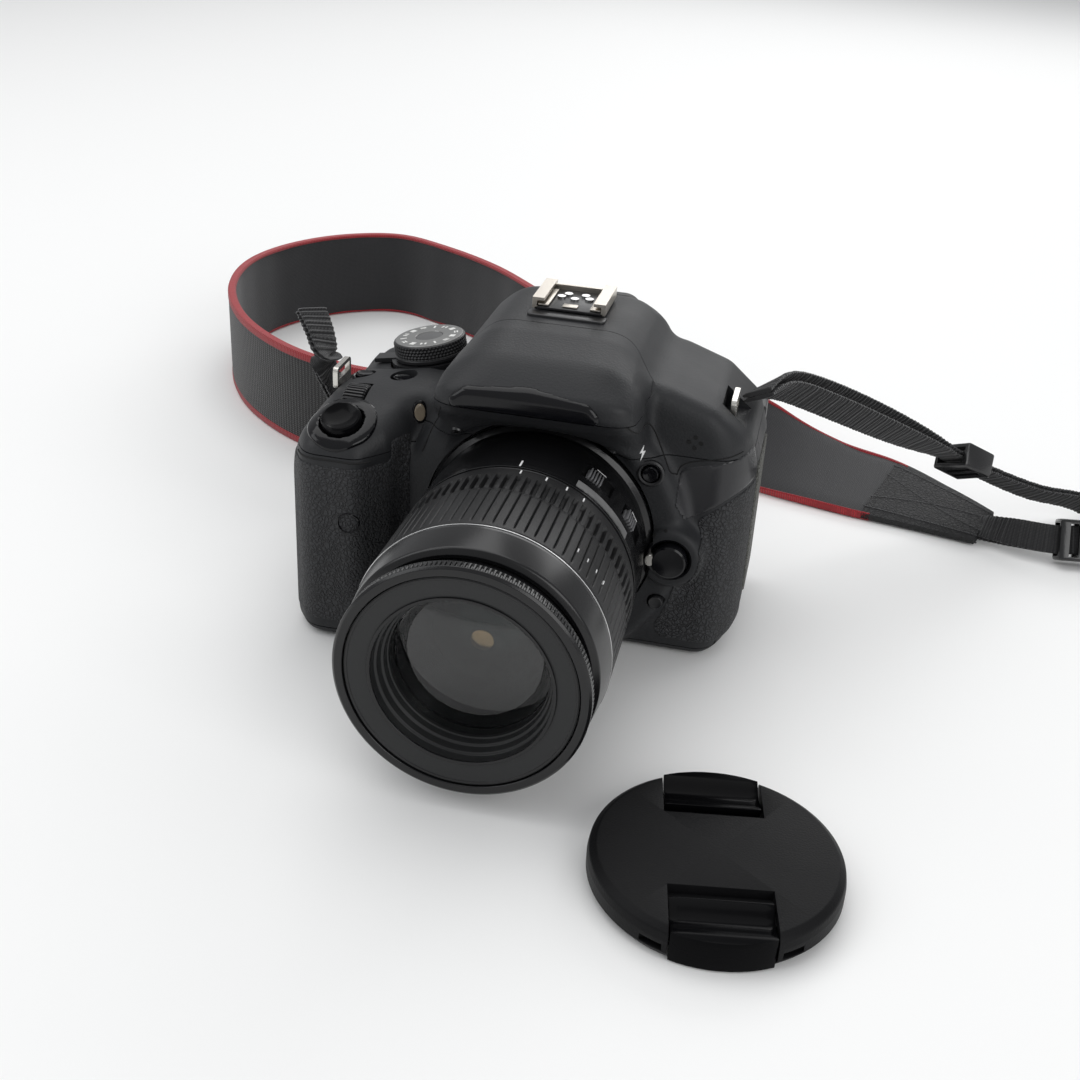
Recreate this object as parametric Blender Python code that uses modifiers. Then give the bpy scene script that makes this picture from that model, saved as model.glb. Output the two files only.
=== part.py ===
"""A digital reflex camera with an 18-55 mm zoom lens, its pinch lens cap and its neck strap.

All sizes are millimetres, scaled to metres where a mesh is made. The world frame has its
origin on the base plate, below the lens axis, in the film plane. +Z is up, -Y is the way the
camera looks and +X is the right-hand side for someone who faces the lens. Positions are
written from the lens flange, FILM_TO_FLANGE in front of the film plane, and shift() adds that.
"""

import math

import bmesh
import bpy
from mathutils import Matrix, Vector

MM = 0.001
GAP = 0.3

# Body
FILM_TO_FLANGE = 44.0
AXIS_Z = 38.0
RIGHT_X = 60.2
LEFT_X = -72.4
GRIP_FRONT = -18.0
CORE_FRONT = 4.0
CORE_BACK = 52.0
HUMP_TOP = 97.4
BASE_TOP = 3.0
SPLIT_Y = 24.0
SPLIT_Z = 66.0
GRIP_SPLIT_Z = 60.0
GRIP_SPLIT_X = -38.0

# Lens, as radii and distances in front of the flange
BORE_R = 30.35
BARREL_R = 33.2
ZOOM_R = 33.9
ZOOM_BACK = 31.5
ZOOM_FRONT = 65.1
COLLAR_FRONT = 77.0
TUBE_R = 30.0
RIM_R = 32.6
RIM_FRONT = 85.5
TURN_STEPS = 40

# Controls
MODE_TILT = math.radians(9.8)
MODE_TOP = (-44.4, 34.0, 80.3)
MODE_R = 11.2
SHUTTER_TILT = math.radians(24.2)
SHUTTER_AT = (-57.5, -7.6, 66.2)
MAIN_DIAL_AT = (-57.5, 6.0, 65.6)
MAIN_DIAL_R = 7.2
DIAL_WELL_R = 7.6
LCD_AXIS = (57.4, 56.3)
FLASH_AXIS = (17.0, 97.0)
MIRROR_AXIS = (31.0, 50.0)
MIRROR_LENGTH = 28.0

# Lens cap, lying in front of the camera
CAP_AT = (66.6, -92.4, 0.0)
CAP_R = 31.0
CAP_HIGH = 9.0
CAP_TURN = math.radians(10.0)
LATCH_WIDE = 24.0

# Neck strap
PAD_WIDE = 38.0
PAD_THICK = 3.6
WEB_WIDE = 10.0
WEB_THICK = 2.8

NODES = bpy.data.collections.new("reflex_camera")
CUTTERS = bpy.data.collections.new("cutters")
MATERIALS = {}


# ---------------------------------------------------------------- helpers


def shift(x, y, z):
    """A point measured from the lens flange, in millimetres, as world metres."""
    return Vector((x, y - FILM_TO_FLANGE, z)) * MM


def clear_scene():
    for obj in list(bpy.data.objects):
        bpy.data.objects.remove(obj, do_unlink=True)
    bpy.context.scene.collection.children.link(NODES)
    bpy.context.scene.collection.children.link(CUTTERS)


def material(name, colour, roughness, metallic=0.0):
    made = bpy.data.materials.new(name)
    made.use_nodes = True
    shader = made.node_tree.nodes["Principled BSDF"]
    shader.inputs["Base Color"].default_value = (*colour, 1.0)
    shader.inputs["Roughness"].default_value = roughness
    shader.inputs["Metallic"].default_value = metallic
    MATERIALS[name] = made


def make_materials():
    material("body_plastic", (0.030, 0.031, 0.033), 0.55)
    material("gloss_plastic", (0.012, 0.012, 0.013), 0.18)
    material("grip_rubber", (0.026, 0.027, 0.029), 0.75)
    material("bright_metal", (0.62, 0.61, 0.58), 0.28, 1.0)
    material("dark_metal", (0.12, 0.12, 0.125), 0.4, 1.0)
    material("lens_glass", (0.02, 0.03, 0.03), 0.03)
    material("webbing", (0.014, 0.014, 0.015), 0.9)
    material("circuit_board", (0.02, 0.10, 0.05), 0.5)
    material("dial_print", (0.38, 0.38, 0.36), 0.4, 0.6)


def store(obj, name, finish):
    """Makes a mesh object the node called name."""
    obj.name = name
    obj.data.name = name
    obj.data.materials.clear()
    obj.data.materials.append(MATERIALS[finish])
    for owner in list(obj.users_collection):
        owner.objects.unlink(obj)
    NODES.objects.link(obj)
    obj.data.shade_smooth()
    obj.data.set_sharp_from_angle(angle=math.radians(30))
    return obj


def as_cutter(obj):
    for owner in list(obj.users_collection):
        owner.objects.unlink(obj)
    CUTTERS.objects.link(obj)
    obj.hide_render = True
    obj.display_type = "WIRE"
    return obj


def from_bmesh(mesh, name):
    data = bpy.data.meshes.new(name)
    bmesh.ops.recalc_face_normals(mesh, faces=mesh.faces)
    mesh.to_mesh(data)
    mesh.free()
    obj = bpy.data.objects.new(name, data)
    bpy.context.scene.collection.objects.link(obj)
    return obj


def bevel(obj, width, segments=2, angle=40):
    """Rounds the edges sharper than angle."""
    made = obj.modifiers.new("round", "BEVEL")
    made.width = width * MM
    made.segments = segments
    made.limit_method = "ANGLE"
    made.angle_limit = math.radians(angle)
    made.harden_normals = False
    return obj


def boolean(obj, other, operation="DIFFERENCE"):
    made = obj.modifiers.new(other.name, "BOOLEAN")
    made.operation = operation
    made.object = other
    return obj


def box(low, high, name="block"):
    """A box between two corners, as (x, y, z) from the flange."""
    mesh = bmesh.new()
    bmesh.ops.create_cube(mesh, size=1.0)
    middle = (shift(*low) + shift(*high)) / 2
    sides = shift(*high) - shift(*low)
    bmesh.ops.scale(mesh, vec=sides, verts=mesh.verts)
    bmesh.ops.translate(mesh, vec=middle, verts=mesh.verts)
    return from_bmesh(mesh, name)


def cylinder(centre, axis, radius, length, sides=24):
    """A cylinder whose middle is at centre, with its length along axis."""
    mesh = bmesh.new()
    bmesh.ops.create_cone(
        mesh,
        cap_ends=True,
        segments=sides,
        radius1=radius * MM,
        radius2=radius * MM,
        depth=length * MM,
    )
    turn = Vector((0, 0, 1)).rotation_difference(Vector(axis)).to_matrix().to_4x4()
    bmesh.ops.transform(mesh, matrix=Matrix.Translation(shift(*centre)) @ turn, verts=mesh.verts)
    return from_bmesh(mesh, "disc")


def rounded(corners, arc_points=5):
    """A closed outline from (u, v, radius) corners, with an arc at each corner."""
    count = len(corners)
    points = []
    for i, (u, v, radius) in enumerate(corners):
        here = Vector((u, v))
        back = (Vector(corners[i - 1][:2]) - here).normalized()
        ahead = (Vector(corners[(i + 1) % count][:2]) - here).normalized()
        half = back.angle(ahead) / 2
        if radius <= 0 or half > math.radians(88):
            points.append(here)
            continue
        middle = here + (back + ahead).normalized() * (radius / math.sin(half))
        start = here + back * (radius / math.tan(half)) - middle
        sweep = start.angle_signed(here + ahead * (radius / math.tan(half)) - middle)
        for step in range(arc_points + 1):
            turn = Matrix.Rotation(-sweep * step / arc_points, 2)
            points.append(middle + turn @ start)
    return points


def plate(corners, axis, low, high, arc_points=5):
    """A flat outline drawn across an axis and thickened from low to high along it."""
    curve = bpy.data.curves.new("outline", "CURVE")
    curve.dimensions = "2D"
    curve.fill_mode = "BOTH"
    curve.extrude = (high - low) / 2 * MM
    points = rounded(corners, arc_points)
    spline = curve.splines.new("POLY")
    spline.points.add(len(points) - 1)
    for point, (u, v) in zip(spline.points, points):
        point.co = (u * MM, v * MM, 0, 1)
    spline.use_cyclic_u = True
    drawn = bpy.data.objects.new("outline", curve)
    bpy.context.scene.collection.objects.link(drawn)
    middle = (high + low) / 2 * MM
    flange = -FILM_TO_FLANGE * MM
    place = {
        "X": Matrix(((0, 0, 1, middle), (1, 0, 0, flange), (0, 1, 0, 0), (0, 0, 0, 1))),
        "Y": Matrix(((1, 0, 0, 0), (0, 0, -1, middle + flange), (0, 1, 0, 0), (0, 0, 0, 1))),
        "Z": Matrix(((1, 0, 0, 0), (0, 1, 0, flange), (0, 0, 1, middle), (0, 0, 0, 1))),
    }[axis]
    bpy.context.view_layer.update()
    graph = bpy.context.evaluated_depsgraph_get()
    data = bpy.data.meshes.new_from_object(drawn.evaluated_get(graph))
    bpy.data.objects.remove(drawn, do_unlink=True)
    mesh = bmesh.new()
    mesh.from_mesh(data)
    bpy.data.meshes.remove(data)
    bmesh.ops.remove_doubles(mesh, verts=mesh.verts, dist=1e-6)
    bmesh.ops.transform(mesh, matrix=place, verts=mesh.verts)
    bmesh.ops.dissolve_limit(
        mesh, angle_limit=math.radians(0.5), verts=mesh.verts, edges=mesh.edges
    )
    return from_bmesh(mesh, "plate")


def turned(profile, steps=TURN_STEPS, place=None):
    """A turned piece. The profile is (radius, height) points, down the outer side first."""
    data = bpy.data.meshes.new("profile")
    points = [(r * MM, 0, s * MM) for r, s in profile]
    closed = all(r > 0 for r, _ in profile)
    edges = [(i, i + 1) for i in range(len(points) - 1)]
    if closed:
        edges.append((len(points) - 1, 0))
    data.from_pydata(points, edges, [])
    obj = bpy.data.objects.new("turned", data)
    bpy.context.scene.collection.objects.link(obj)
    spin = obj.modifiers.new("spin", "SCREW")
    spin.steps = steps
    spin.render_steps = steps
    spin.use_merge_vertices = True
    spin.merge_threshold = 1e-6
    spin.use_smooth_shade = True
    if place is None:
        lens_axis = Matrix.Rotation(math.radians(90), 4, "X")
        place = Matrix.Translation(shift(0, 0, AXIS_Z)) @ lens_axis
    obj.matrix_world = place
    return obj


def pivot(obj, point):
    """Moves an object's origin to a point on its joint's axis, leaving the shape in place."""
    target = shift(*point)
    obj.data.transform(Matrix.Translation(-target))
    obj.location = target
    return obj


def route_points(controls, per_span=4):
    """Points along a smooth curve through the controls, each a tuple of numbers."""
    rows = [Vector(row) for row in controls]
    rows = [2 * rows[0] - rows[1], *rows, 2 * rows[-1] - rows[-2]]
    found = []
    for a, b, c, d in zip(rows, rows[1:], rows[2:], rows[3:]):
        for step in range(per_span):
            t = step / per_span
            found.append(
                0.5 * ((2 * b) + (c - a) * t + (2 * a - 5 * b + 4 * c - d) * t * t
                       + (3 * b - a - 3 * c + d) * t * t * t)
            )
    found.append(rows[-2])
    return found


def ribbon(controls, thickness, per_span=4):
    """A flat band lofted along a route. A control is (x, y, z, lean in degrees, width).

    Lean 0 stands the band on its edge and 90 lays its flat side up. Where the route is lower
    than the band can go, such as at z = 0, the band's lower edge rests on the ground.
    """
    rows = route_points(controls, per_span)
    centres = [Vector(row[:3]) for row in rows]
    mesh = bmesh.new()
    rings = []
    for i, row in enumerate(rows):
        ahead = centres[min(i + 1, len(rows) - 1)] - centres[max(i - 1, 0)]
        ahead.normalize()
        side = ahead.cross(Vector((0, 0, 1))).normalized()
        upright = side.cross(ahead).normalized()
        lean = math.radians(row[3])
        rest = (row[4] * math.cos(lean) + thickness * math.sin(lean)) / 2 + 0.12
        centre = Vector((centres[i].x, centres[i].y, max(centres[i].z, rest)))
        across = upright * math.cos(lean) + side * math.sin(lean)
        through = ahead.cross(across).normalized()
        half_wide, half_thick = across * row[4] / 2, through * thickness / 2
        corners = (half_wide + half_thick, half_wide - half_thick,
                   -half_wide - half_thick, -half_wide + half_thick)
        rings.append([mesh.verts.new(shift(*(centre + corner))) for corner in corners])
    for first, second in zip(rings, rings[1:]):
        for k in range(4):
            mesh.faces.new((first[k], first[(k + 1) % 4], second[(k + 1) % 4], second[k]))
    mesh.faces.new(rings[0])
    mesh.faces.new(list(reversed(rings[-1])))
    return from_bmesh(mesh, "ribbon")


# ---------------------------------------------------------------- body form


def core_form():
    outline = [
        (LEFT_X + 1, 0, 7), (RIGHT_X, 0, 12), (RIGHT_X, 61, 6), (57, 71, 5), (47, 79.5, 5),
        (34, 84, 4), (20, 86, 0), (-26, 77, 0), (-32, 74.8, 3), (-61, 69.6, 7), (LEFT_X + 1, 59, 6),
    ]
    return bevel(plate(outline, "Y", CORE_FRONT, CORE_BACK), 3.0)


def grip_form():
    outline = [
        (-39, 24, 0), (-39, 2, 5), (-44, -9, 5), (-50, GRIP_FRONT, 5), (-66, GRIP_FRONT, 7),
        (LEFT_X, -9, 7), (LEFT_X, 16, 6), (LEFT_X + 1.4, 24, 0),
    ]
    obj = bevel(plate(outline, "Z", 0.02, 78), 3.5)
    slope = plate(
        [(-30, 57.9, 0), (12, 76.8, 0), (30, 76.8, 0), (30, 95, 0), (-30, 95, 0)], "X", -95, -30
    )
    boolean(obj, as_cutter(slope))
    left = plate(
        [(-90, 40, 0), (LEFT_X + 0.6, 40, 0), (LEFT_X + 0.6, 58, 8), (-66, 66.8, 6), (-40, 73.4, 0),
         (-30, 90, 0), (-90, 90, 0)], "Y", -40, 60,
    )
    return boolean(obj, as_cutter(left))


def hump_form():
    side = [
        (-13.5, 77.5, 1), (-17, 80.5, 2), (-16.5, 86, 3), (-7, 93.5, 8), (8, HUMP_TOP, 10),
        (50, HUMP_TOP, 6), (56, 93, 3), (56, 74, 0), (-4, 74, 0),
    ]
    front = [
        (-31, 74, 0), (27, 74, 0), (26.5, 86, 6), (18, HUMP_TOP, 8), (-18, HUMP_TOP, 8),
        (-26.5, 86, 6),
    ]
    obj = plate(side, "X", -32, 28)
    return boolean(obj, as_cutter(plate(front, "Y", -30, 60)), "INTERSECT")


def boss_form():
    """The round boss that the lens flange sits on, trimmed at the base."""
    obj = bevel(cylinder((0, 4, AXIS_Z), (0, 1, 0), 42.5, 10, 48), 3.0)
    return boolean(obj, as_cutter(box((-60, -10, 0.02), (60, 20, 76))), "INTERSECT")


def body_form():
    """The whole outer form of the body: core, grip, viewfinder hump and lens boss."""
    obj = as_cutter(core_form())
    obj.name = "body_form"
    pad = bevel(cylinder((39.5, -1, 36.5), (0, 1, 0), 8.6, 7, 28), 1.5)
    for other in (grip_form(), hump_form(), boss_form(), pad):
        boolean(obj, as_cutter(other), "UNION")
    return obj


# ---------------------------------------------------------------- shells


def shared_cuts():
    """Cavities and openings that run through more than one shell."""
    return [
        box((-65, 7.5, 2), (55, 48.2, 61)),
        box((-50, 7.5, 60.8), (46, 48.2, 69.3)),
        box((-20.5, 19.5, 70.4), (20.5, 48.2, 92.5)),
        box((-67.5, -12.5, 3.1), (-46, 7.8, 55)),
        cylinder((0, -5, AXIS_Z), (0, 1, 0), 34.4, 14, 48),
        cylinder((0, 5, AXIS_Z), (0, 1, 0), 27.4, 12, 48),
        box((-9.6, 44, 76.4), (9.6, 60, 87.6)),
    ]


def shell(name, region, form, cuts):
    """The stretch of the outer form inside a region, with everything in cuts taken away."""
    obj = store(region, name, "body_plastic")
    boolean(obj, form, "INTERSECT")
    for cutter in cuts:
        boolean(obj, cutter)
    return obj


def front_region():
    outline = [
        (-90, BASE_TOP + GAP, 0), (90, BASE_TOP + GAP, 0), (90, SPLIT_Z - GAP, 0),
        (GRIP_SPLIT_X + 2, SPLIT_Z - GAP, 0), (GRIP_SPLIT_X, GRIP_SPLIT_Z - GAP, 0),
        (-90, GRIP_SPLIT_Z - GAP, 0),
    ]
    return plate(outline, "Y", -40, SPLIT_Y - GAP)


def top_region():
    outline = [
        (-90, GRIP_SPLIT_Z, 0), (GRIP_SPLIT_X, GRIP_SPLIT_Z, 0), (GRIP_SPLIT_X + 2, SPLIT_Z, 0),
        (90, SPLIT_Z, 0), (90, 120, 0), (-90, 120, 0),
    ]
    obj = plate(outline, "Y", -40, 80)
    return boolean(obj, as_cutter(box((-95, SPLIT_Y, 50), (95, 90, SPLIT_Z))))


def make_shells():
    form = body_form()
    cuts = [as_cutter(cutter) for cutter in shared_cuts()]
    lcd_bay = as_cutter(box((-25.5, 51.4, 7.0), (61, 70, 65.0)))
    shutter_axis = Vector((0, -math.sin(SHUTTER_TILT), math.cos(SHUTTER_TILT)))
    front_cuts = [
        cylinder((39.5, -3.7, 36.5), (0, 1, 0), 6.3, 9.6, 28),
        cylinder((36.5, -1.3, 20.5), (0, 1, 0), 2.6, 5.2, 20),
        cylinder((31.5, -1.3, 61.5), (0, 1, 0), 2.9, 5.2, 20),
        box((39.6, 1, 16.6), (66, 5.2, 46.4)),
        box((-80, -21, 6.0), (-44.5, -16.4, 57.6)),
        cylinder(MAIN_DIAL_AT, (1, 0, 0), DIAL_WELL_R, 7.4, 28),
        box((58.9, 18.6, 15.6), (70, 40, 60.4)),
        box((54.8, 20.2, 17.7), (59.2, 42.8, 58.3)),
    ]
    front = cuts + [as_cutter(cutter) for cutter in front_cuts]
    shell("front_cover", front_region(), form, front)
    rear_cuts = [
        cylinder((-46, 51.6, 36), (0, 1, 0), 9.9, 5.2, 32),
        cylinder((-38, 51.6, 15), (0, 1, 0), 3.1, 5.2, 20),
        cylinder((-51, 51.6, 15), (0, 1, 0), 3.1, 5.2, 20),
        box((-80, 25.6, 15.6), (-69.1, 44.4, 52.4)),
        box((58.9, 20, 15.6), (70, 44.4, 60.4)),
        box((54.8, 20.2, 17.7), (59.2, 42.8, 58.3)),
        box((52, 51.0, 20), (61, 56, 53)),
    ]
    rear = cuts + [lcd_bay] + [as_cutter(cutter) for cutter in rear_cuts]
    rear_region = box((-90, SPLIT_Y, BASE_TOP + GAP), (90, 80, SPLIT_Z - GAP))
    shell("rear_cover", rear_region, form, rear)
    dial_axis = Vector((-math.sin(MODE_TILT), 0, math.cos(MODE_TILT)))
    dial_well = Vector(MODE_TOP) - dial_axis * 4.6
    top_cuts = [
        cylinder(Vector(SHUTTER_AT) + shutter_axis * 1.0, shutter_axis, 6.5, 8, 28),
        cylinder(MAIN_DIAL_AT, (1, 0, 0), DIAL_WELL_R, 7.4, 28),
        cylinder(dial_well, dial_axis, 13.1, 9.2, 40),
        cylinder((-60, 19.5, 69.8), (0, 0, 1), 3.2, 5, 20),
        cylinder((-46.5, 15.5, 71.7), (0, 0, 1), 4.0, 5, 20),
        cylinder((46, 51.6, 72), (0, 1, 0), 2.9, 5.2, 20),
        cylinder((36, 51.6, 73), (0, 1, 0), 2.9, 5.2, 20),
        box((-11.4, 25.0, 95.6), (11.4, 60, 105)),
        box((48, 14.5, 72.2), (60, 29.5, 90)),
        box((-80, 17, 64), (-67.6, 29, 80)),
        flash_region(-0.25),
    ]
    top = cuts + [as_cutter(cutter) for cutter in top_cuts]
    shell("top_cover", top_region(), form, top)
    base_cuts = [
        cylinder((0, 17, 0), (0, 0, 1), 6.0, 20, 28),
        box((-67.6, -12.4, -5), (-43.6, 16.4, 10)),
    ]
    base_region = box((-90, -40, -1), (90, 80, BASE_TOP))
    keep = [as_cutter(cutter) for cutter in base_cuts]
    keep += cuts[4:6]
    shell("base_plate", base_region, form, keep)


def make_skins():
    """Rubber skins on the grip and beside the lens."""
    grip = plate(
        [(LEFT_X + 1.5, 6.6, 4), (-45.2, 6.6, 3), (-45.2, 57.0, 3), (LEFT_X + 1.5, 57.0, 4)],
        "Y", -17.9, -16.7,
    )
    store(bevel(grip, 0.4, 1), "grip_rubber", "grip_rubber")
    side = plate(
        [(40.2, 17.2, 3), (56.5, 17.2, 6), (56.5, 45.8, 2), (40.2, 45.8, 2)], "Y", 3.2, 4.8
    )
    store(side, "side_rubber", "grip_rubber")


# ---------------------------------------------------------------- inside and fixed fittings


def make_optics_box():
    walls = box((-21, 9.2, 13), (21, 37, 63))
    inner = as_cutter(box((-18.6, 0, 15.5), (18.6, 50, 70)))
    store(boolean(walls, inner), "mirror_box", "gloss_plastic")
    length = MIRROR_LENGTH * math.sqrt(0.5)
    top_y, top_z = MIRROR_AXIS
    thick = 1.3
    glass = plate(
        [(top_y, top_z, 0), (top_y - length, top_z - length, 0),
         (top_y - length + thick, top_z - length - thick, 0), (top_y + thick, top_z - thick, 0)],
        "X", -17.6, 17.6,
    )
    store(pivot(glass, (0, top_y, top_z)), "reflex_mirror", "bright_metal")
    prism = plate(
        [(22, 71.5, 0), (42, 71.5, 0), (45, 79, 0), (36, 91, 0), (24, 86, 0)], "X", -15, 15
    )
    store(prism, "pentaprism", "lens_glass")
    frame = box((-21, 37.4, 13), (21, 41.0, 63))
    gate = as_cutter(box((-12.5, 30, AXIS_Z - 8.8), (12.5, 50, AXIS_Z + 8.8)))
    store(boolean(frame, gate), "shutter_unit", "dark_metal")
    board = box((-38, 46.0, 8), (44, 47.6, 60))
    sensor = as_cutter(box((-15, 43.2, 27), (15, 47.0, 49)))
    store(boolean(board, sensor, "UNION"), "sensor_board", "circuit_board")


def make_fittings():
    ring = turned([(33.9, 0.0), (33.9, -1.7), (27.0, -1.7), (27.0, 0.0)])
    store(ring, "mount_ring", "bright_metal")
    socket = cylinder((0, 17, 5.4), (0, 0, 1), 5.5, 10.2, 24)
    thread = as_cutter(cylinder((0, 17, 3), (0, 0, 1), 3.2, 9, 20))
    store(boolean(socket, thread), "tripod_socket", "bright_metal")
    shoe = box((-10.8, 25.4, 96.0), (10.8, 44.0, 99.5))
    slot = [(-9.4, 96.7, 0), (9.4, 96.7, 0), (9.4, 98.8, 0), (7.4, 98.8, 0), (7.4, 102, 0),
            (-7.4, 102, 0), (-7.4, 98.8, 0), (-9.4, 98.8, 0)]
    store(boolean(shoe, as_cutter(plate(slot, "Y", 20, 60))), "hot_shoe", "bright_metal")
    tube = plate([(-9, 77, 2), (9, 77, 2), (9, 87, 2), (-9, 87, 2)], "Y", 45.5, 57.6)
    store(tube, "eyepiece", "lens_glass")
    cup = plate([(-17, 73.5, 6), (17, 73.5, 6), (17, 92.5, 6), (-17, 92.5, 6)], "Y", 56.4, 61.6)
    hole = plate([(-10.5, 75.6, 3), (10.5, 75.6, 3), (10.5, 88.4, 3), (-10.5, 88.4, 3)],
                 "Y", 50, 70)
    store(boolean(bevel(cup, 1.4), as_cutter(hole)), "eyecup", "grip_rubber")
    for name, at, low, high in (
        ("strap_lug_left", (23, 69), -69.4, -67.9),
        ("strap_lug_right", (22, 76), 50.4, 51.9),
    ):
        y, z = at
        ear = plate([(y - 6, z - 3.4, 1.5), (y + 6, z - 3.4, 1.5), (y + 6, z + 3.4, 1.5),
                     (y - 6, z + 3.4, 1.5)], "X", low, high)
        slot = box((low - 2, y - 4.6, z - 0.6), (high + 2, y + 4.6, z + 2.2))
        store(boolean(ear, as_cutter(slot)), name, "bright_metal")
    battery = box((-64.6, -11, 4.0), (-47, 15.5, 44))
    store(bevel(battery, 1.2), "battery", "gloss_plastic")
    sockets = box((55.4, 20.5, 18), (58.4, 42.5, 58))
    for z, wide, high in ((26, 12, 4), (37, 11, 3.6), (47, 4, 4), (54, 4, 3.4)):
        jack = box((56.8, 31.5 - wide / 2, z - high / 2), (60, 31.5 + wide / 2, z + high / 2))
        boolean(sockets, as_cutter(jack))
    store(sockets, "terminal_sockets", "dark_metal")


# ---------------------------------------------------------------- controls and doors


def push_button(name, centre, axis, radius, length, finish="gloss_plastic", sides=24):
    cap = cylinder(centre, axis, radius, length, sides)
    store(bevel(pivot(cap, centre), 0.35, 1), name, finish)


def make_buttons():
    tilt = Vector((0, -math.sin(SHUTTER_TILT), math.cos(SHUTTER_TILT)))
    push_button("shutter_button", Vector(SHUTTER_AT) + tilt * 1.3, tilt, 6.1, 4.2)
    push_button("iso_button", (-60, 19.5, 69.9), (0, 0, 1), 2.9, 2.8)
    push_button("display_button", (-46.5, 15.5, 71.5), (0, 0, 1), 3.7, 2.8)
    push_button("lens_release_button", (39.5, -4.2, 36.5), (0, 1, 0), 5.9, 4.0)
    push_button("preview_button", (36.5, -0.9, 20.5), (0, 1, 0), 2.3, 2.0)
    push_button("flash_button", (31.5, -0.9, 61.5), (0, 1, 0), 2.6, 2.0)
    push_button("menu_button", (46, 51.6, 72), (0, 1, 0), 2.6, 3.0)
    push_button("info_button", (36, 51.6, 73), (0, 1, 0), 2.6, 3.0)
    push_button("playback_button", (-38, 51.6, 15), (0, 1, 0), 2.8, 3.0)
    push_button("erase_button", (-51, 51.6, 15), (0, 1, 0), 2.8, 3.0)
    push_button("set_button", (-46, 51.6, 36), (0, 1, 0), 3.6, 3.0)
    keys = cylinder((-46, 51.6, 36), (0, 1, 0), 9.6, 3.0, 32)
    bore = as_cutter(cylinder((-46, 51.6, 36), (0, 1, 0), 3.9, 8, 24))
    boolean(keys, bore)
    store(pivot(keys, (-46, 51.6, 36)), "cross_keys", "gloss_plastic")


def make_dials():
    dial_axis = Vector((-math.sin(MODE_TILT), 0, math.cos(MODE_TILT)))
    top = Vector(MODE_TOP)
    dial = cylinder(top - dial_axis * 2.9, dial_axis, MODE_R, 5.8, 40)
    store(bevel(pivot(dial, top), 0.6, 1), "mode_dial", "dial_print")
    collar_at = top - dial_axis * 7.0
    collar = cylinder(collar_at, dial_axis, 12.4, 1.6, 40)
    tab = box(top + Vector((-18.0, -2.6, -7.2)), top + Vector((-10, 2.6, -5.9)))
    about = Matrix.Translation(shift(*top))
    tab.data.transform(about @ Matrix.Rotation(-MODE_TILT, 4, "Y") @ about.inverted())
    boolean(collar, as_cutter(tab), "UNION")
    store(pivot(collar, top), "power_lever", "gloss_plastic")
    wheel = cylinder(MAIN_DIAL_AT, (1, 0, 0), MAIN_DIAL_R, 6.6, 32)
    store(bevel(pivot(wheel, MAIN_DIAL_AT), 0.4, 1), "main_dial", "gloss_plastic")


def flash_region(inset):
    """The front of the hump that lifts as the flash head, grown or shrunk by inset."""
    outline = [
        (-30, 80.3 + inset, 0), (-5, 80.3 + inset, 0), (3.5, 83.2 + inset, 0),
        (11 - inset, 88 + inset, 0), (16.4 - inset, 93, 0), (16.4 - inset, 110, 0), (-30, 110, 0),
    ]
    return plate(outline, "X", -40, 40)


def make_flash():
    head = hump_form()
    boolean(head, as_cutter(flash_region(0.05)), "INTERSECT")
    boolean(head, as_cutter(box((-15, -12.0, 78), (15, -5.2, 82.4))))
    store(pivot(head, (0, *FLASH_AXIS)), "flash_head", "body_plastic")
    lamp = box((-14.6, -11.6, 80.6), (14.6, -5.6, 82.0))
    store(pivot(lamp, (0, *FLASH_AXIS)), "flash_window", "lens_glass")


def make_screen():
    x, y = LCD_AXIS
    panel = plate(
        [(-24.6, 7.8, 3), (x + 1.8, 7.8, 1), (x + 1.8, 64.2, 1), (-24.6, 64.2, 3)],
        "Y", 52.1, 60.5,
    )
    boolean(panel, as_cutter(box((x - 4.2, 45, 21), (x + 10, 70, 52))))
    boolean(panel, as_cutter(box((-17.4, 59.6, 13.6), (48.2, 70, 58.4))))
    store(bevel(pivot(panel, (x, y, 36)), 0.6, 1), "screen_panel", "body_plastic")
    glass = box((-17.0, 59.9, 14.0), (47.8, 60.9, 58.0))
    store(pivot(glass, (x, y, 36)), "screen_glass", "lens_glass")
    post = cylinder((x, y, 36.5), (0, 0, 1), 2.7, 30, 24)
    foot = box((x - 2.4, 51.2, 21.6), (x + 2.0, y, 51.4))
    store(boolean(post, as_cutter(foot), "UNION"), "screen_hinge", "dark_metal")


def make_doors():
    door = plate(
        [(-67.3, -12.1, 2), (-43.9, -12.1, 2), (-43.9, 16.1, 2), (-67.3, 16.1, 2)],
        "Z", 0.02, 2.4,
    )
    store(pivot(door, (-43.9, 2, 0)), "battery_door", "body_plastic")
    card = plate(
        [(26, 16, 2), (44, 16, 2), (44, 52, 2), (26, 52, 2)], "X", LEFT_X + 1.1, LEFT_X + 2.9
    )
    store(pivot(card, (LEFT_X + 1.1, 44, 34)), "card_door", "body_plastic")
    flap = plate(
        [(19.0, 16, 3), (44.0, 16, 3), (44.0, 60, 3), (19.0, 60, 3)], "X", 59.3, RIGHT_X + 0.6
    )
    store(bevel(pivot(flap, (RIGHT_X + 0.6, 19.0, 38)), 0.4, 1), "terminal_cover", "grip_rubber")


# ---------------------------------------------------------------- lens


def polar(angle, radius, ahead):
    """A point on the lens at an angle in degrees from the top, towards +X."""
    turn = math.radians(angle)
    return (radius * math.sin(turn), -ahead, AXIS_Z + radius * math.cos(turn))


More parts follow.
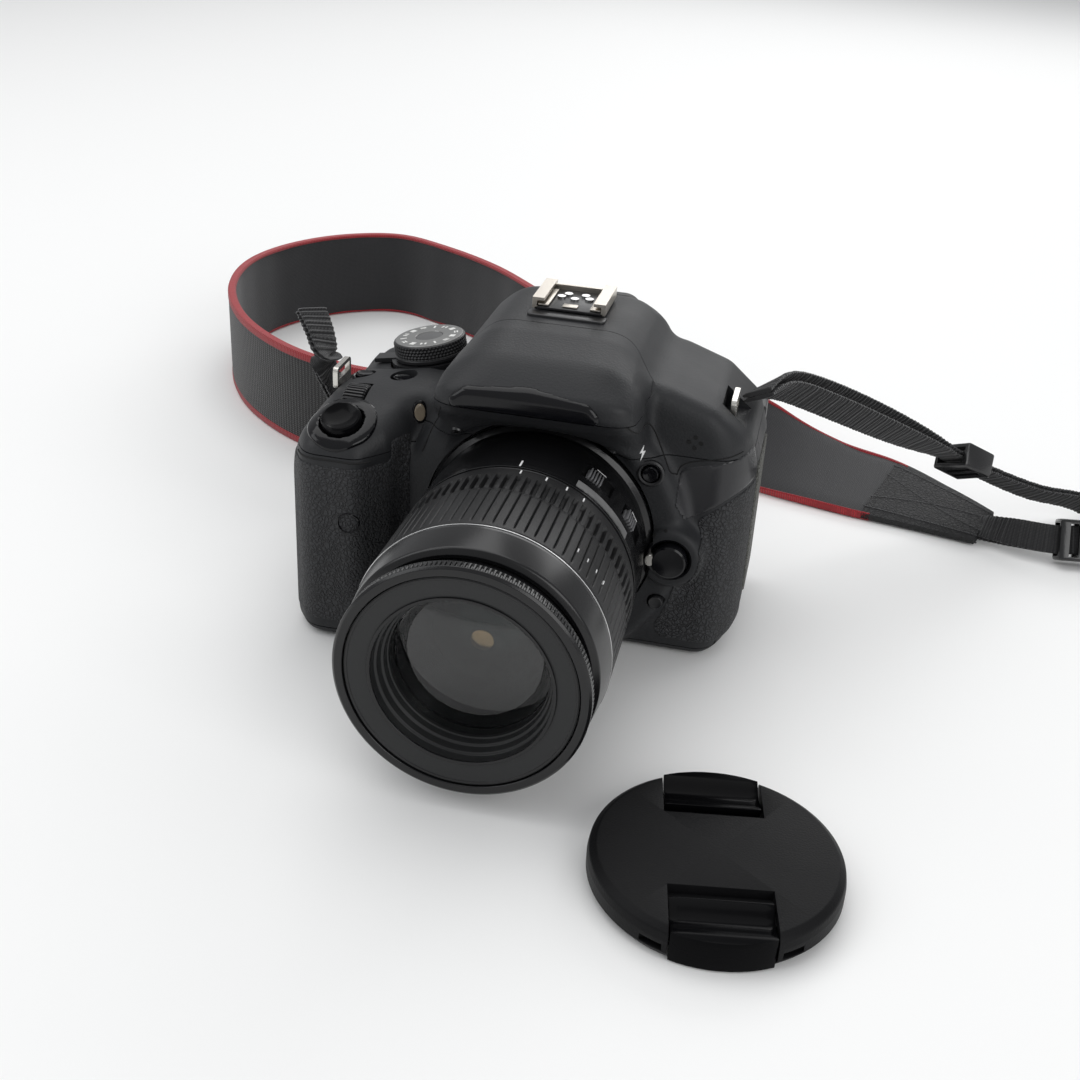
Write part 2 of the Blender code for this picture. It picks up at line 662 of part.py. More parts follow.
def lens_switch(name, angle, ahead, barrel):
    """A slide switch in a flat pocket in the barrel's side."""
    spin = Matrix.Rotation(math.radians(angle), 4, "Y")
    centre = shift(0, 0, AXIS_Z)
    place = Matrix.Translation(centre) @ spin @ Matrix.Translation(-centre)
    pocket = box((-5.2, -ahead - 3.4, AXIS_Z + 31.2), (5.2, -ahead + 3.4, AXIS_Z + 40))
    pocket.data.transform(place)
    boolean(barrel, as_cutter(pocket))
    knob = box((-3.6, -ahead - 3.0, AXIS_Z + 31.6), (1.2, -ahead + 3.0, AXIS_Z + 33.8))
    knob.data.transform(place)
    point = polar(angle, 31.5, ahead)
    store(bevel(pivot(knob, point), 0.3, 1), name, "gloss_plastic")


def make_lens():
    barrel = turned([
        (31.1, 65.0), (31.1, 31.2), (33.6, 30.9), (33.4, 27), (BARREL_R, 16), (32.2, 9),
        (32.0, 3.5), (32.0, 0.3), (26.6, 0.3), (26.6, -4.0), (24.8, -4.0), (24.8, 34), (BORE_R, 34),
        (BORE_R, 65.0),
    ])
    lens_switch("focus_mode_switch", 36, 17.5, barrel)
    lens_switch("stabiliser_switch", 63, 17.5, barrel)
    store(barrel, "lens_barrel", "gloss_plastic")
    zoom = turned([(ZOOM_R, ZOOM_FRONT), (ZOOM_R, 60), (33.6, ZOOM_BACK), (31.5, ZOOM_BACK),
                   (31.5, ZOOM_FRONT)])
    store(zoom, "zoom_ring", "grip_rubber")
    collar = turned([(31.6, COLLAR_FRONT), (32.9, 75.8), (33.9, 67), (33.9, 65.4),
                     (BORE_R, 65.4), (BORE_R, COLLAR_FRONT)])
    store(collar, "lens_collar", "gloss_plastic")
    tube = turned([(TUBE_R, 81.8), (TUBE_R, 42), (28.0, 42), (28.0, 81.8)])
    store(tube, "inner_barrel", "gloss_plastic")
    rim = turned([(31.8, RIM_FRONT), (RIM_R, RIM_FRONT - 0.9), (RIM_R, 82.1), (29.9, 82.1),
                  (29.9, RIM_FRONT)])
    store(rim, "focus_ring", "gloss_plastic")
    bezel = turned([(29.6, 84.9), (29.6, 82.1), (27.7, 82.1), (27.7, 73), (20.6, 73),
                    (20.6, 78.5), (23.2, 84.5)])
    store(bezel, "front_bezel", "gloss_plastic")
    store(turned([(0, 80.2), (8, 79.7), (15, 78.0), (20.3, 75.2), (20.3, 73.4), (0, 73.4)]),
          "front_element", "lens_glass")


# ---------------------------------------------------------------- lens cap


def cap_place():
    return Matrix.Translation(shift(*CAP_AT)) @ Matrix.Rotation(CAP_TURN, 4, "Z")


def cap_block(sign, near, far, half, low, high):
    """A box across one of the cap's two pinch latches, from near to far out of its centre."""
    inner, outer = sorted((sign * near, sign * far))
    block = box((-half, inner + FILM_TO_FLANGE, low), (half, outer + FILM_TO_FLANGE, high))
    block.data.transform(cap_place())
    return block


def make_cap():
    place = cap_place()
    cover = turned(
        [(0, CAP_HIGH), (CAP_R - 1.6, CAP_HIGH), (CAP_R, CAP_HIGH - 1.4), (CAP_R, 1.8),
         (29.6, 1.6), (29.4, 0.02), (27.6, 0.02), (27.6, 5.2), (0, 5.2)],
        TURN_STEPS, place,
    )
    for name, sign in (("cap_latch_rear", 1), ("cap_latch_front", -1)):
        half = LATCH_WIDE / 2
        pocket = cap_block(sign, 13.0, 40.0, half + 0.4, 6.2, 20)
        notch = cap_block(sign, 21.4, 40.0, half + 0.4, -15, 20)
        boolean(cover, as_cutter(pocket))
        boolean(cover, as_cutter(notch))
        latch = cap_block(sign, 16.6, 30.4, half, 6.6, 8.6)
        heel = cap_block(sign, 24.2, 30.4, half, 0.3, 7.5)
        boolean(latch, as_cutter(heel), "UNION")
        at = place @ Vector((0, sign * 26 * MM, 4.5 * MM))
        point = (at.x / MM, at.y / MM + FILM_TO_FLANGE, at.z / MM)
        store(pivot(latch, point), name, "gloss_plastic")
    store(cover, "lens_cap", "body_plastic")


# ---------------------------------------------------------------- strap


PAD_ROUTE = [
    (139, 113, 0, 50, 16), (121, 122, 0, 50, 26), (101, 131, 0, 46, 36),
    (80, 137, 0, 38, PAD_WIDE), (57, 141, 0, 24, PAD_WIDE),
    (28, 148, 0, 8, PAD_WIDE), (-6, 172, 0, 0, PAD_WIDE), (-40, 204, 0, 0, PAD_WIDE),
    (-75, 240, 0, 0, PAD_WIDE), (-108, 262, 0, 0, PAD_WIDE),
    (-132, 270, 0, 0, PAD_WIDE), (-156, 258, 0, 0, PAD_WIDE),
    (-173, 234, 0, 0, PAD_WIDE), (-179, 205, 0, 0, PAD_WIDE),
    (-172, 172, 0, 0, PAD_WIDE), (-153, 140, 0, 0, PAD_WIDE),
    (-126, 116, 0, 0, PAD_WIDE), (-98, 104, 0, 0, PAD_WIDE),
    (-66, 100, 0, 0, PAD_WIDE), (-44, 99, 0, 0, 34), (-22, 98, 0, 0, 24),
    (-4, 97, 0, 0, 16),
]
RIGHT_ROUTE = [
    (57, 27, 77.6, 62, WEB_WIDE), (60.5, 36, 77.2, 62, WEB_WIDE),
    (65, 47, 74.0, 64, WEB_WIDE), (73, 60, 67.5, 66, WEB_WIDE), (86, 75, 58.0, 66, WEB_WIDE),
    (102, 90, 47.0, 64, WEB_WIDE), (118, 103, 36.5, 62, WEB_WIDE),
    (136, 114, 25.5, 58, WEB_WIDE), (155, 126, 15.5, 50, WEB_WIDE),
    (174, 138, 8.5, 40, WEB_WIDE), (192, 141, 0, 20, WEB_WIDE), (200, 128, 0, 10, WEB_WIDE),
    (193, 114, 0, 14, WEB_WIDE), (178, 107, 8.3, 24, WEB_WIDE),
    (162, 104.5, 8.3, 30, WEB_WIDE), (150, 107, 7.4, 36, WEB_WIDE),
    (145, 109.6, 7.0, 44, WEB_WIDE),
]
LEFT_ROUTE = [
    (-83, 35.5, 83.0, 30, WEB_WIDE), (-78, 30, 77.5, 30, WEB_WIDE),
    (-75.2, 27, 70.5, 20, WEB_WIDE), (-78, 36, 62, 10, WEB_WIDE),
    (-80, 54, 46, 0, WEB_WIDE), (-72, 72, 28, 0, WEB_WIDE), (-50, 80, 13, 0, WEB_WIDE),
    (-24, 83, 7.5, 0, WEB_WIDE), (0, 84, 0, 0, WEB_WIDE), (14, 88, 0, 0, WEB_WIDE),
    (13, 95, 0, 0, WEB_WIDE), (1, 97, 8, 0, WEB_WIDE),
]


def along(controls, start, stop):
    """The frame of a band at the middle of the stretch between two of its controls."""
    a, b = Vector(controls[start][:3]), Vector(controls[stop][:3])
    ahead = (b - a).normalized()
    side = ahead.cross(Vector((0, 0, 1))).normalized()
    upright = side.cross(ahead).normalized()
    lean = math.radians((controls[start][3] + controls[stop][3]) / 2)
    across = (upright * math.cos(lean) + side * math.sin(lean)).normalized()
    through = ahead.cross(across).normalized()
    turn = Matrix((ahead, across, through)).transposed().to_4x4()
    return Matrix.Translation(shift(*((a + b) / 2))) @ turn


def slide_frame(name, place, long, wide, thick, slot_wide, slot_thick):
    """A plastic frame that the webbing runs through lengthwise."""
    mesh = bmesh.new()
    bmesh.ops.create_cube(mesh, size=MM)
    bmesh.ops.scale(mesh, vec=(long, wide, thick), verts=mesh.verts)
    frame = bevel(from_bmesh(mesh, name), 0.5, 1)
    mesh = bmesh.new()
    bmesh.ops.create_cube(mesh, size=MM)
    bmesh.ops.scale(mesh, vec=(long * 2, slot_wide, slot_thick), verts=mesh.verts)
    slot = as_cutter(from_bmesh(mesh, name + "_slot"))
    slot.data.transform(place)
    frame.data.transform(place)
    boolean(frame, slot)
    store(frame, name, "gloss_plastic")


def make_strap():
    store(ribbon(PAD_ROUTE, PAD_THICK, 3), "strap_pad", "webbing")
    store(ribbon(RIGHT_ROUTE, WEB_THICK, 3), "strap_webbing_right", "webbing")
    store(ribbon(LEFT_ROUTE, WEB_THICK, 3), "strap_webbing_left", "webbing")
    slide_frame("strap_slider", along(RIGHT_ROUTE, 6, 7), 13, 15, 8.6, 11.6, 5.4)
    slide_frame("strap_buckle", along(RIGHT_ROUTE, 13, 14), 15, 14.5, 7.6, 11.6, 5.0)


def main():
    clear_scene()
    make_materials()
    make_shells()
    make_skins()
    make_optics_box()
    make_fittings()
    make_buttons()
    make_dials()
    make_flash()
    make_screen()
    make_doors()
    make_lens()
    make_cap()
    make_strap()


main()
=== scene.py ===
"""The looks of a digital reflex camera with its zoom lens, lens cap and neck strap.

Shapes are drawn in millimetres from the lens flange, as the CAD is: x to the right for someone
who faces the lens, y from the flange back into the body, z up from the table. place() turns
them into the frame's metres. The body's skin comes from distance fields, blended and meshed
here. Everything else is turned, lofted or cut in mesh code.
"""

import math

import bmesh
import bpy
import numpy as np
from mathutils import Matrix, Vector
from mathutils.bvhtree import BVHTree


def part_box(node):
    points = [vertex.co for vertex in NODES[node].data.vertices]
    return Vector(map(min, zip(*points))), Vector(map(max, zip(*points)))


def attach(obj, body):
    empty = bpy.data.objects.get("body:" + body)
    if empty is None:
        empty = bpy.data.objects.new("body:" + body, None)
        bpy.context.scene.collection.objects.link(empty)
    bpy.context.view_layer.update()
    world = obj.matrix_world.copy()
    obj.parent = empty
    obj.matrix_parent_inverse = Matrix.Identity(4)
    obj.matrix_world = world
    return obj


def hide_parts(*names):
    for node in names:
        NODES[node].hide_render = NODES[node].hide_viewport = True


MM = 0.001
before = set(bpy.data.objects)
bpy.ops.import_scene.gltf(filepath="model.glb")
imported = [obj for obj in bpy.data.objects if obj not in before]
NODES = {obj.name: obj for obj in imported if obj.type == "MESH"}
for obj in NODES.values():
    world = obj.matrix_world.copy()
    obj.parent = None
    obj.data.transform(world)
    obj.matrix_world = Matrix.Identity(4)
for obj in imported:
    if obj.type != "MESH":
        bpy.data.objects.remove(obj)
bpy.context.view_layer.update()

# The frame's own places
FLANGE_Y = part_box("mount_ring")[0].y / MM
AXIS_Z = (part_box("zoom_ring")[0].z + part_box("zoom_ring")[1].z) / 2 / MM
BODY_LOW, BODY_HIGH = (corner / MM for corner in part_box("front_cover"))
RIGHT_X = BODY_HIGH.x
LEFT_X = BODY_LOW.x
HUMP_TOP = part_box("top_cover")[1].z / MM
GRIP_FRONT = BODY_LOW.y - FLANGE_Y

# Shells
GAP = 0.3
BASE_TOP = 3.0
SPLIT_Y = 24.0
SPLIT_Z = 66.0
GRIP_SPLIT_Z = 60.0
GRIP_SPLIT_X = -38.0
CORE_FRONT = 4.0
CORE_BACK = 52.0
STEP = 0.55

MATERIALS = {}


# ---------------------------------------------------------------- placing and meshes


def place(points):
    """Points in millimetres from the flange, as an array of world metres."""
    found = np.array(points, float).reshape(-1, 3).copy()
    found[:, 1] += FLANGE_Y
    return found * MM


def at(x, y, z):
    return Vector(place([(x, y, z)])[0])


def new_object(name, data):
    obj = bpy.data.objects.new(name, data)
    bpy.context.scene.collection.objects.link(obj)
    return obj


def mesh_object(name, points, faces, smooth=True):
    """A mesh from points in millimetres and faces as index tuples or an index array."""
    data = bpy.data.meshes.new(name)
    data.from_pydata(place(points).tolist(), [], [list(map(int, face)) for face in faces])
    data.validate()
    if smooth:
        data.shade_smooth()
    return new_object(name, data)


def from_bmesh(name, mesh):
    bmesh.ops.recalc_face_normals(mesh, faces=mesh.faces)
    data = bpy.data.meshes.new(name)
    mesh.to_mesh(data)
    mesh.free()
    return new_object(name, data)


def apply_modifiers(obj):
    """Replaces an object's mesh by what its modifiers make of it."""
    graph = bpy.context.evaluated_depsgraph_get()
    graph.update()
    made = bpy.data.meshes.new_from_object(obj.evaluated_get(graph))
    old = obj.data
    obj.modifiers.clear()
    obj.data = made
    bpy.data.meshes.remove(old)
    return obj


def discard(obj):
    data = obj.data
    bpy.data.objects.remove(obj, do_unlink=True)
    if isinstance(data, bpy.types.Mesh) and not data.users:
        bpy.data.meshes.remove(data)


def boolean(obj, others, operation="DIFFERENCE", solver="MANIFOLD", keep=False):
    """Cuts or joins other meshes into obj, applies the result, and drops the others."""
    for other in others:
        made = obj.modifiers.new("cut", "BOOLEAN")
        made.operation = operation
        made.solver = solver
        made.object = other
        apply_modifiers(obj)
        if not keep:
            discard(other)
    return obj


def copy_of(obj, name):
    return new_object(name, obj.data.copy())


def finish_mesh(obj, angle=32):
    obj.data.shade_smooth()
    obj.data.set_sharp_from_angle(angle=math.radians(angle))
    return obj


def rounded_edges(obj, width, segments=3, angle=35):
    made = obj.modifiers.new("round", "BEVEL")
    made.width = width * MM
    made.segments = segments
    made.limit_method = "ANGLE"
    made.angle_limit = math.radians(angle)
    made.use_clamp_overlap = True
    return apply_modifiers(obj)


def box(low, high, name="box"):
    mesh = bmesh.new()
    bmesh.ops.create_cube(mesh, size=1.0)
    middle = (at(*low) + at(*high)) / 2
    bmesh.ops.scale(mesh, vec=at(*high) - at(*low), verts=mesh.verts)
    bmesh.ops.translate(mesh, vec=middle, verts=mesh.verts)
    return from_bmesh(name, mesh)


def cylinder(centre, axis, radius, length, sides=64, tip_radius=None, name="disc"):
    """A cylinder or cone whose middle is at centre. tip_radius is its radius where axis points."""
    mesh = bmesh.new()
    bmesh.ops.create_cone(
        mesh, cap_ends=True, segments=sides, radius1=radius * MM,
        radius2=(radius if tip_radius is None else tip_radius) * MM, depth=length * MM,
    )
    turn = Vector((0, 0, 1)).rotation_difference(Vector(axis)).to_matrix().to_4x4()
    bmesh.ops.transform(mesh, matrix=Matrix.Translation(at(*centre)) @ turn, verts=mesh.verts)
    return from_bmesh(name, mesh)


def rounded(corners, arc_points=8):
    """A closed outline from (u, v, radius) corners, with an arc at each corner."""
    count = len(corners)
    points = []
    for i, (u, v, radius) in enumerate(corners):
        here = Vector((u, v))
        back = (Vector(corners[i - 1][:2]) - here).normalized()
        ahead = (Vector(corners[(i + 1) % count][:2]) - here).normalized()
        half = back.angle(ahead) / 2
        if radius <= 0 or half > math.radians(88):
            points.append(here)
            continue
        middle = here + (back + ahead).normalized() * (radius / math.sin(half))
        start = here + back * (radius / math.tan(half)) - middle
        sweep = start.angle_signed(here + ahead * (radius / math.tan(half)) - middle)
        for step in range(arc_points + 1):
            points.append(middle + Matrix.Rotation(-sweep * step / arc_points, 2) @ start)
    return [(p.x, p.y) for p in points]


def plate(corners, axis, low, high, name="plate", arc_points=8):
    """A closed prism: an outline across an axis, from low to high along it."""
    outline = rounded(corners, arc_points)
    order = {"X": (2, 0, 1), "Y": (0, 2, 1), "Z": (0, 1, 2)}[axis]
    mesh = bmesh.new()
    rings = []
    for level in (low, high):
        rows = [(u, v, level) for u, v in outline]
        rows = [tuple(row[k] for k in order) for row in rows]
        rings.append([mesh.verts.new(co) for co in place(rows)])
    count = len(outline)
    for i in range(count):
        after = (i + 1) % count
        mesh.faces.new((rings[0][i], rings[0][after], rings[1][after], rings[1][i]))
    for ring in rings:
        mesh.faces.new(ring)
    return from_bmesh(name, mesh)


# ---------------------------------------------------------------- distance fields


def smooth_min(a, b, radius):
    mix = np.clip(0.5 + 0.5 * (b - a) / radius, 0, 1)
    return b + (a - b) * mix - radius * mix * (1 - mix)


def smooth_max(a, b, radius):
    return -smooth_min(-a, -b, radius)


def outline_distance(corners, u, v):
    """Signed distance from the grid points (u, v) to a rounded outline, negative inside."""
    points = np.array(rounded(corners, 10))
    nearest = np.full(u.shape, 1e9)
    inside = np.zeros(u.shape, bool)
    for (au, av), (bu, bv) in zip(points, np.roll(points, -1, axis=0)):
        du, dv = bu - au, bv - av
        share = np.clip(((u - au) * du + (v - av) * dv) / max(du * du + dv * dv, 1e-9), 0, 1)
        nearest = np.minimum(nearest, (u - au - share * du) ** 2 + (v - av - share * dv) ** 2)
        crosses = (av > v) != (bv > v)
        where = au + (v - av) * du / (dv if abs(dv) > 1e-9 else 1e-9)
        inside ^= crosses & (u < where)
    return np.where(inside, -1, 1) * np.sqrt(nearest)


class Field:
    """A grid of distances in millimetres over a box."""

    def __init__(self, low, high, step):
        self.low, self.step = np.array(low, float), step
        axes = [np.arange(a, b + step, step) for a, b in zip(low, high)]
        self.x = axes[0][:, None, None]
        self.y = axes[1][None, :, None]
        self.z = axes[2][None, None, :]
        self.axes = axes

    def prism(self, corners, axis, low, high, edge):
        """An outline across an axis, with its long edges rounded by about edge."""
        first, second = {"X": (1, 2), "Y": (0, 2), "Z": (0, 1)}[axis]
        u, v = np.meshgrid(self.axes[first], self.axes[second], indexing="ij")
        flat = np.expand_dims(outline_distance(corners, u, v), "XYZ".index(axis))
        along = (self.x, self.y, self.z)["XYZ".index(axis)]
        slab = np.abs(along - (low + high) / 2) - (high - low) / 2
        return smooth_max(flat, slab, edge)

    def ball_rod(self, start, stop, radius, tip=None):
        """A round-ended rod, tapering to tip."""
        a, b = np.array(start, float), np.array(stop, float)
        run = b - a
        share = ((self.x - a[0]) * run[0] + (self.y - a[1]) * run[1] + (self.z - a[2]) * run[2])
        share = np.clip(share / run.dot(run), 0, 1)
        reach = np.sqrt(
            (self.x - a[0] - share * run[0]) ** 2 + (self.y - a[1] - share * run[1]) ** 2
            + (self.z - a[2] - share * run[2]) ** 2
        )
        return reach - (radius + share * ((radius if tip is None else tip) - radius))

    def mesh(self, values, name):
        """Surface nets: one point in each cell the surface crosses, joined across grid edges."""
        inside = values < 0
        shape = tuple(n - 1 for n in values.shape)
        corners = [(i, j, k) for i in (0, 1) for j in (0, 1) for k in (0, 1)]

        def shifted(grid, corner):
            return grid[tuple(slice(c, c + n) for c, n in zip(corner, shape))]

        count = sum(shifted(inside, c).astype(np.int8) for c in corners)
        cells = np.argwhere((count > 0) & (count < 8))
        total = np.zeros((len(cells), 3))
        crossings = np.zeros(len(cells))
        for corner in corners:
            for axis in range(3):
                if corner[axis]:
                    continue
                end = tuple(c + (k == axis) for k, c in enumerate(corner))
                a = values[tuple((cells + corner).T)]
                b = values[tuple((cells + end).T)]
                hit = (a < 0) != (b < 0)
                share = np.where(hit, a / np.where(a == b, 1, a - b), 0)
                spot = np.tile(np.array(corner, float), (len(cells), 1))
                spot[:, axis] += share
                total += spot * hit[:, None]
                crossings += hit
        points = (cells + total / crossings[:, None]) * self.step + self.low
        index = np.full(shape, -1, np.int64)
        index[tuple(cells.T)] = np.arange(len(cells))
        quads = []
        for axis in range(3):
            u, v = [(1, 2), (2, 0), (0, 1)][axis]
            step = np.eye(3, dtype=int)
            inner = [slice(1, n - 1) for n in values.shape]
            inner[axis] = slice(0, values.shape[axis] - 1)
            start = inside[tuple(inner)]
            inner[axis] = slice(1, values.shape[axis])
            change = start != inside[tuple(inner)]
            edges = np.argwhere(change)
            flip = start[tuple(edges.T)]
            edges[:, u] += 1
            edges[:, v] += 1
            around = [edges, edges - step[u], edges - step[u] - step[v], edges - step[v]]
            ring = np.stack([index[tuple(cell.T)] for cell in around], axis=1)
            ring[~flip] = ring[~flip][:, ::-1]
            quads.append(ring)
        return mesh_object(name, points, np.concatenate(quads))


# ---------------------------------------------------------------- the body's form


def body_field():
    """The body's skin: core, grip, viewfinder hump, the collar round the lens and small swells."""
    grid = Field((LEFT_X - 2, GRIP_FRONT - 3, -2), (RIGHT_X + 2, 59, HUMP_TOP + 2), STEP)
    x, y, z = grid.x, grid.y, grid.z
    core = grid.prism(
        [(LEFT_X + 1, 0, 7), (RIGHT_X, 0, 12), (RIGHT_X, 61, 8), (57, 71, 7), (47, 79.5, 9),
         (34, 84, 8), (20, 87, 0), (-26, 77.5, 0), (-34, 74.4, 8), (-61, 69.6, 7),
         (LEFT_X + 1, 59, 6)], "Y", CORE_FRONT - 0.6, CORE_BACK, 6,
    )
    right_turn = smooth_max(core, ((x - 54) * 0.82 - (y - 4.5) * 0.57), 5)
    core = np.where(x > 30, right_turn, core)
    grip = grid.prism(
        [(-38.4, 24, 0), (-38.4, 4, 6), (-43.4, -9, 5), (-50, GRIP_FRONT, 6),
         (-65.6, GRIP_FRONT, 8), (LEFT_X, -9, 9), (LEFT_X, 16, 8), (LEFT_X + 1.4, 24, 0)],
        "Z", 0.02, 82, 5,
    )
    slope = (z - 57.6) * 0.912 - (y + 30) * 0.41
    grip = smooth_max(grip, slope, 7)
    deck = (z - 75.8) + (-38 - x) * 0.23
    grip = smooth_max(grip, deck, 5)
    corner = (z - 60.5) * 0.53 - (x - LEFT_X) * 0.85
    grip = smooth_max(grip, corner - 0.3, 7)
    hump_side = grid.prism(
        [(-13.0, 77.0, 2), (-17, 80.5, 2.5), (-16.6, 86, 4), (-7, 93.5, 12), (9, HUMP_TOP, 14),
         (50, HUMP_TOP, 8), (56.4, 92, 4), (56.4, 72, 0), (-4, 72, 0)], "X", -34, 30, 1,
    )
    hump_front = grid.prism(
        [(-33, 70, 0), (29.5, 70, 0), (27.5, 86.4, 12), (17.5, HUMP_TOP, 12),
         (-17.5, HUMP_TOP, 12), (-27.5, 86.4, 12)], "Y", -40, 70, 1,
    )
    hump = smooth_max(hump_side, hump_front, 9)
    reach = np.sqrt(x * x + (z - AXIS_Z) ** 2)
    collar = smooth_max(reach - 43, np.abs(y - 5) - 6.4, 4)
    collar = smooth_max(collar, z - 75, 3)
    collar = smooth_max(collar, -z + 0.3, 5)
    brow = grid.prism(
        [(-13.2, 79, 2), (-6, 66, 6), (0.4, 58, 0), (8, 58, 0), (8, 84, 0), (-6, 84, 0)],
        "X", -29, 27.5, 7,
    )
    brow = smooth_max(brow, 37.2 - reach, 2.5)
    release = grid.ball_rod((39.5, 2, 36.5), (39.5, -1.8, 36.5), 9.2)
    release = smooth_max(release, -4.4 - y, 1.6)
    thumb = grid.prism(
        [(LEFT_X + 5, 50, 0), (-56, 50, 0), (-50, 56.5, 4), (-58, 58.2, 5), (LEFT_X + 5, 55, 4)],
        "Z", 30, 64, 4,
    )
    body = smooth_min(core, grip, 3.5)
    body = smooth_min(body, collar, 4)
    body = smooth_min(body, brow, 4)
    body = smooth_min(body, hump, 5)
    body = smooth_min(body, release, 2.5)
    body = smooth_min(body, thumb, 4)
    return grid, body


# ---------------------------------------------------------------- shells


def region_plates():
    """The stretch of space that each body shell fills, as in the CAD."""
    front = plate(
        [(-95, BASE_TOP + GAP, 0), (95, BASE_TOP + GAP, 0), (95, SPLIT_Z - GAP, 0),
         (GRIP_SPLIT_X + 2, SPLIT_Z - GAP, 0), (GRIP_SPLIT_X, GRIP_SPLIT_Z - GAP, 0),
         (-95, GRIP_SPLIT_Z - GAP, 0)], "Y", -40, SPLIT_Y - GAP, "front_region",
    )
    top = plate(
        [(-95, GRIP_SPLIT_Z, 0), (GRIP_SPLIT_X, GRIP_SPLIT_Z, 0), (GRIP_SPLIT_X + 2, SPLIT_Z, 0),
         (95, SPLIT_Z, 0), (95, 120, 0), (-95, 120, 0)], "Y", -40, 80, "top_region",
    )
    boolean(top, [box((-97, SPLIT_Y, 50), (97, 90, SPLIT_Z))])
    rear = box((-95, SPLIT_Y, BASE_TOP + GAP), (95, 80, SPLIT_Z - GAP), "rear_region")
    base = box((-95, -40, 0.04), (95, 80, BASE_TOP), "base_region")
    return {"front_cover": front, "top_cover": top, "rear_cover": rear, "base_plate": base}


def shared_cuts():
    """Cavities and openings that run through more than one shell."""
    return [
        box((-65, 7.5, 2), (55, 48.2, 61)), box((-50, 7.5, 60.8), (46, 48.2, 69.3)),
        box((-20.5, 19.5, 69), (20.5, 48.2, 92.5)), box((-67.5, -12.5, 3.1), (-46, 7.8, 55)),
        cylinder((0, -8, AXIS_Z), (0, 1, 0), 34.6, 20, 128),
        cylinder((0, 5, AXIS_Z), (0, 1, 0), 27.4, 12, 64),
        box((-9.6, 44, 76.4), (9.6, 60, 87.6)),
    ]


def flash_region(inset):
    """The part of the hump that lifts with the flash, seen from the side."""
    return plate(
        [(-30, 80.3 + inset, 0), (-5, 80.3 + inset, 0), (3.5, 83.2 + inset, 3),
         (11 - inset, 88 + inset, 4), (16.4 - inset, 93, 4), (16.4 - inset, 110, 0),
         (-30, 110, 0)], "X", -40, 40, "flash_region",
    )


def joined(pieces, name):
    """One closed mesh out of several that may overlap."""
    first = pieces[0]
    first.name = name
    return boolean(first, pieces[1:], "UNION")


DIAL_TILT = math.radians(9.8)
DIAL_AXIS = Vector((-math.sin(DIAL_TILT), 0, math.cos(DIAL_TILT)))
DIAL_TOP = Vector((-44.4, 34.0, 80.3))
SHUTTER_TILT = math.radians(24.2)
SHUTTER_AXIS = Vector((0, -math.sin(SHUTTER_TILT), math.cos(SHUTTER_TILT)))
SHUTTER_AT = Vector((-57.5, -7.6, 66.2))
WHEEL_AT = Vector((-57.5, 6.0, 65.6))


def shell_cuts():
    """What is taken out of each shell for its own controls and doors."""
    front = [
        cylinder((39.5, -4.2, 36.5), (0, 1, 0), 6.5, 10.6),
        cylinder((36.5, -1.6, 20.5), (0, 1, 0), 2.6, 7),
        cylinder((31.5, -1.6, 61.5), (0, 1, 0), 2.9, 7),
        cylinder(WHEEL_AT, (1, 0, 0), 7.6, 7.4), box((58.9, 18.6, 15.6), (70, 40, 60.4)),
        box((54.8, 20.2, 17.7), (59.2, 42.8, 58.3)),
    ]
    rear = [
        box((-25.5, 51.4, 7.0), (61, 70, 65.0)), cylinder((-46, 51.6, 36), (0, 1, 0), 9.9, 5.2),
        cylinder((-38, 51.6, 15), (0, 1, 0), 3.1, 5.2),
        cylinder((-51, 51.6, 15), (0, 1, 0), 3.1, 5.2),
        box((-80, 25.6, 15.6), (-69.1, 44.4, 52.4)), box((58.9, 20, 15.6), (70, 44.4, 60.4)),
        box((54.8, 20.2, 17.7), (59.2, 42.8, 58.3)), box((52, 51.0, 20), (61, 56, 53)),
    ]
    top = [
        cylinder(SHUTTER_AT + SHUTTER_AXIS * 2.0, SHUTTER_AXIS, 6.6, 10),
        cylinder(WHEEL_AT, (1, 0, 0), 7.6, 7.4),
        cylinder(DIAL_TOP - DIAL_AXIS * 4.6, DIAL_AXIS, 13.1, 9.2),
        cylinder((-60, 19.5, 70.8), (0, 0, 1), 3.3, 7),
        cylinder((-46.5, 15.5, 72.7), (0, 0, 1), 4.1, 7),
        cylinder((46, 51.6, 72), (0, 1, 0), 2.9, 5.2),
        cylinder((36, 51.6, 73), (0, 1, 0), 2.9, 5.2),
        box((-11.4, 25.0, 95.6), (11.4, 60, 105)), box((48, 14.5, 72.2), (60, 29.5, 90)),
        box((-80, 17, 64), (-67.6, 29, 80)), flash_region(-0.25),
    ]
    base = [
        cylinder((0, 17, 0), (0, 0, 1), 6.0, 20), box((-67.6, -12.4, -5), (-43.6, 16.4, 10)),
    ]
    return {"front_cover": front, "top_cover": top, "rear_cover": rear, "base_plate": base}


def make_shells(form):
    cavities = shared_cuts()
    regions = region_plates()
    own = shell_cuts()
    for name, region in regions.items():
        piece = copy_of(form, name + "_skin")
        boolean(piece, [region], "INTERSECT")
        shared = cavities if name != "base_plate" else cavities[4:6]
        boolean(piece, shared, keep=True)
        boolean(piece, own[name])
        dress(piece, "root", "body_plastic", "charcoal", name)
    head = copy_of(form, "flash_head_skin")
    keep = boolean(plate(
        [(-34, 74.6, 0), (30, 74.6, 0), (28.4, 86.4, 0), (22, 110, 0), (-22, 110, 0),
         (-28.4, 86.4, 0)], "Y", -40, 40), [flash_region(0.05)], "INTERSECT")
    boolean(head, [keep], "INTERSECT")
    boolean(head, [box((-15, -12.0, 78), (15, -5.2, 82.4))])
    dress(head, "flash", "body_plastic", "charcoal", "flash_head")
    for cutter in cavities:
        discard(cutter)


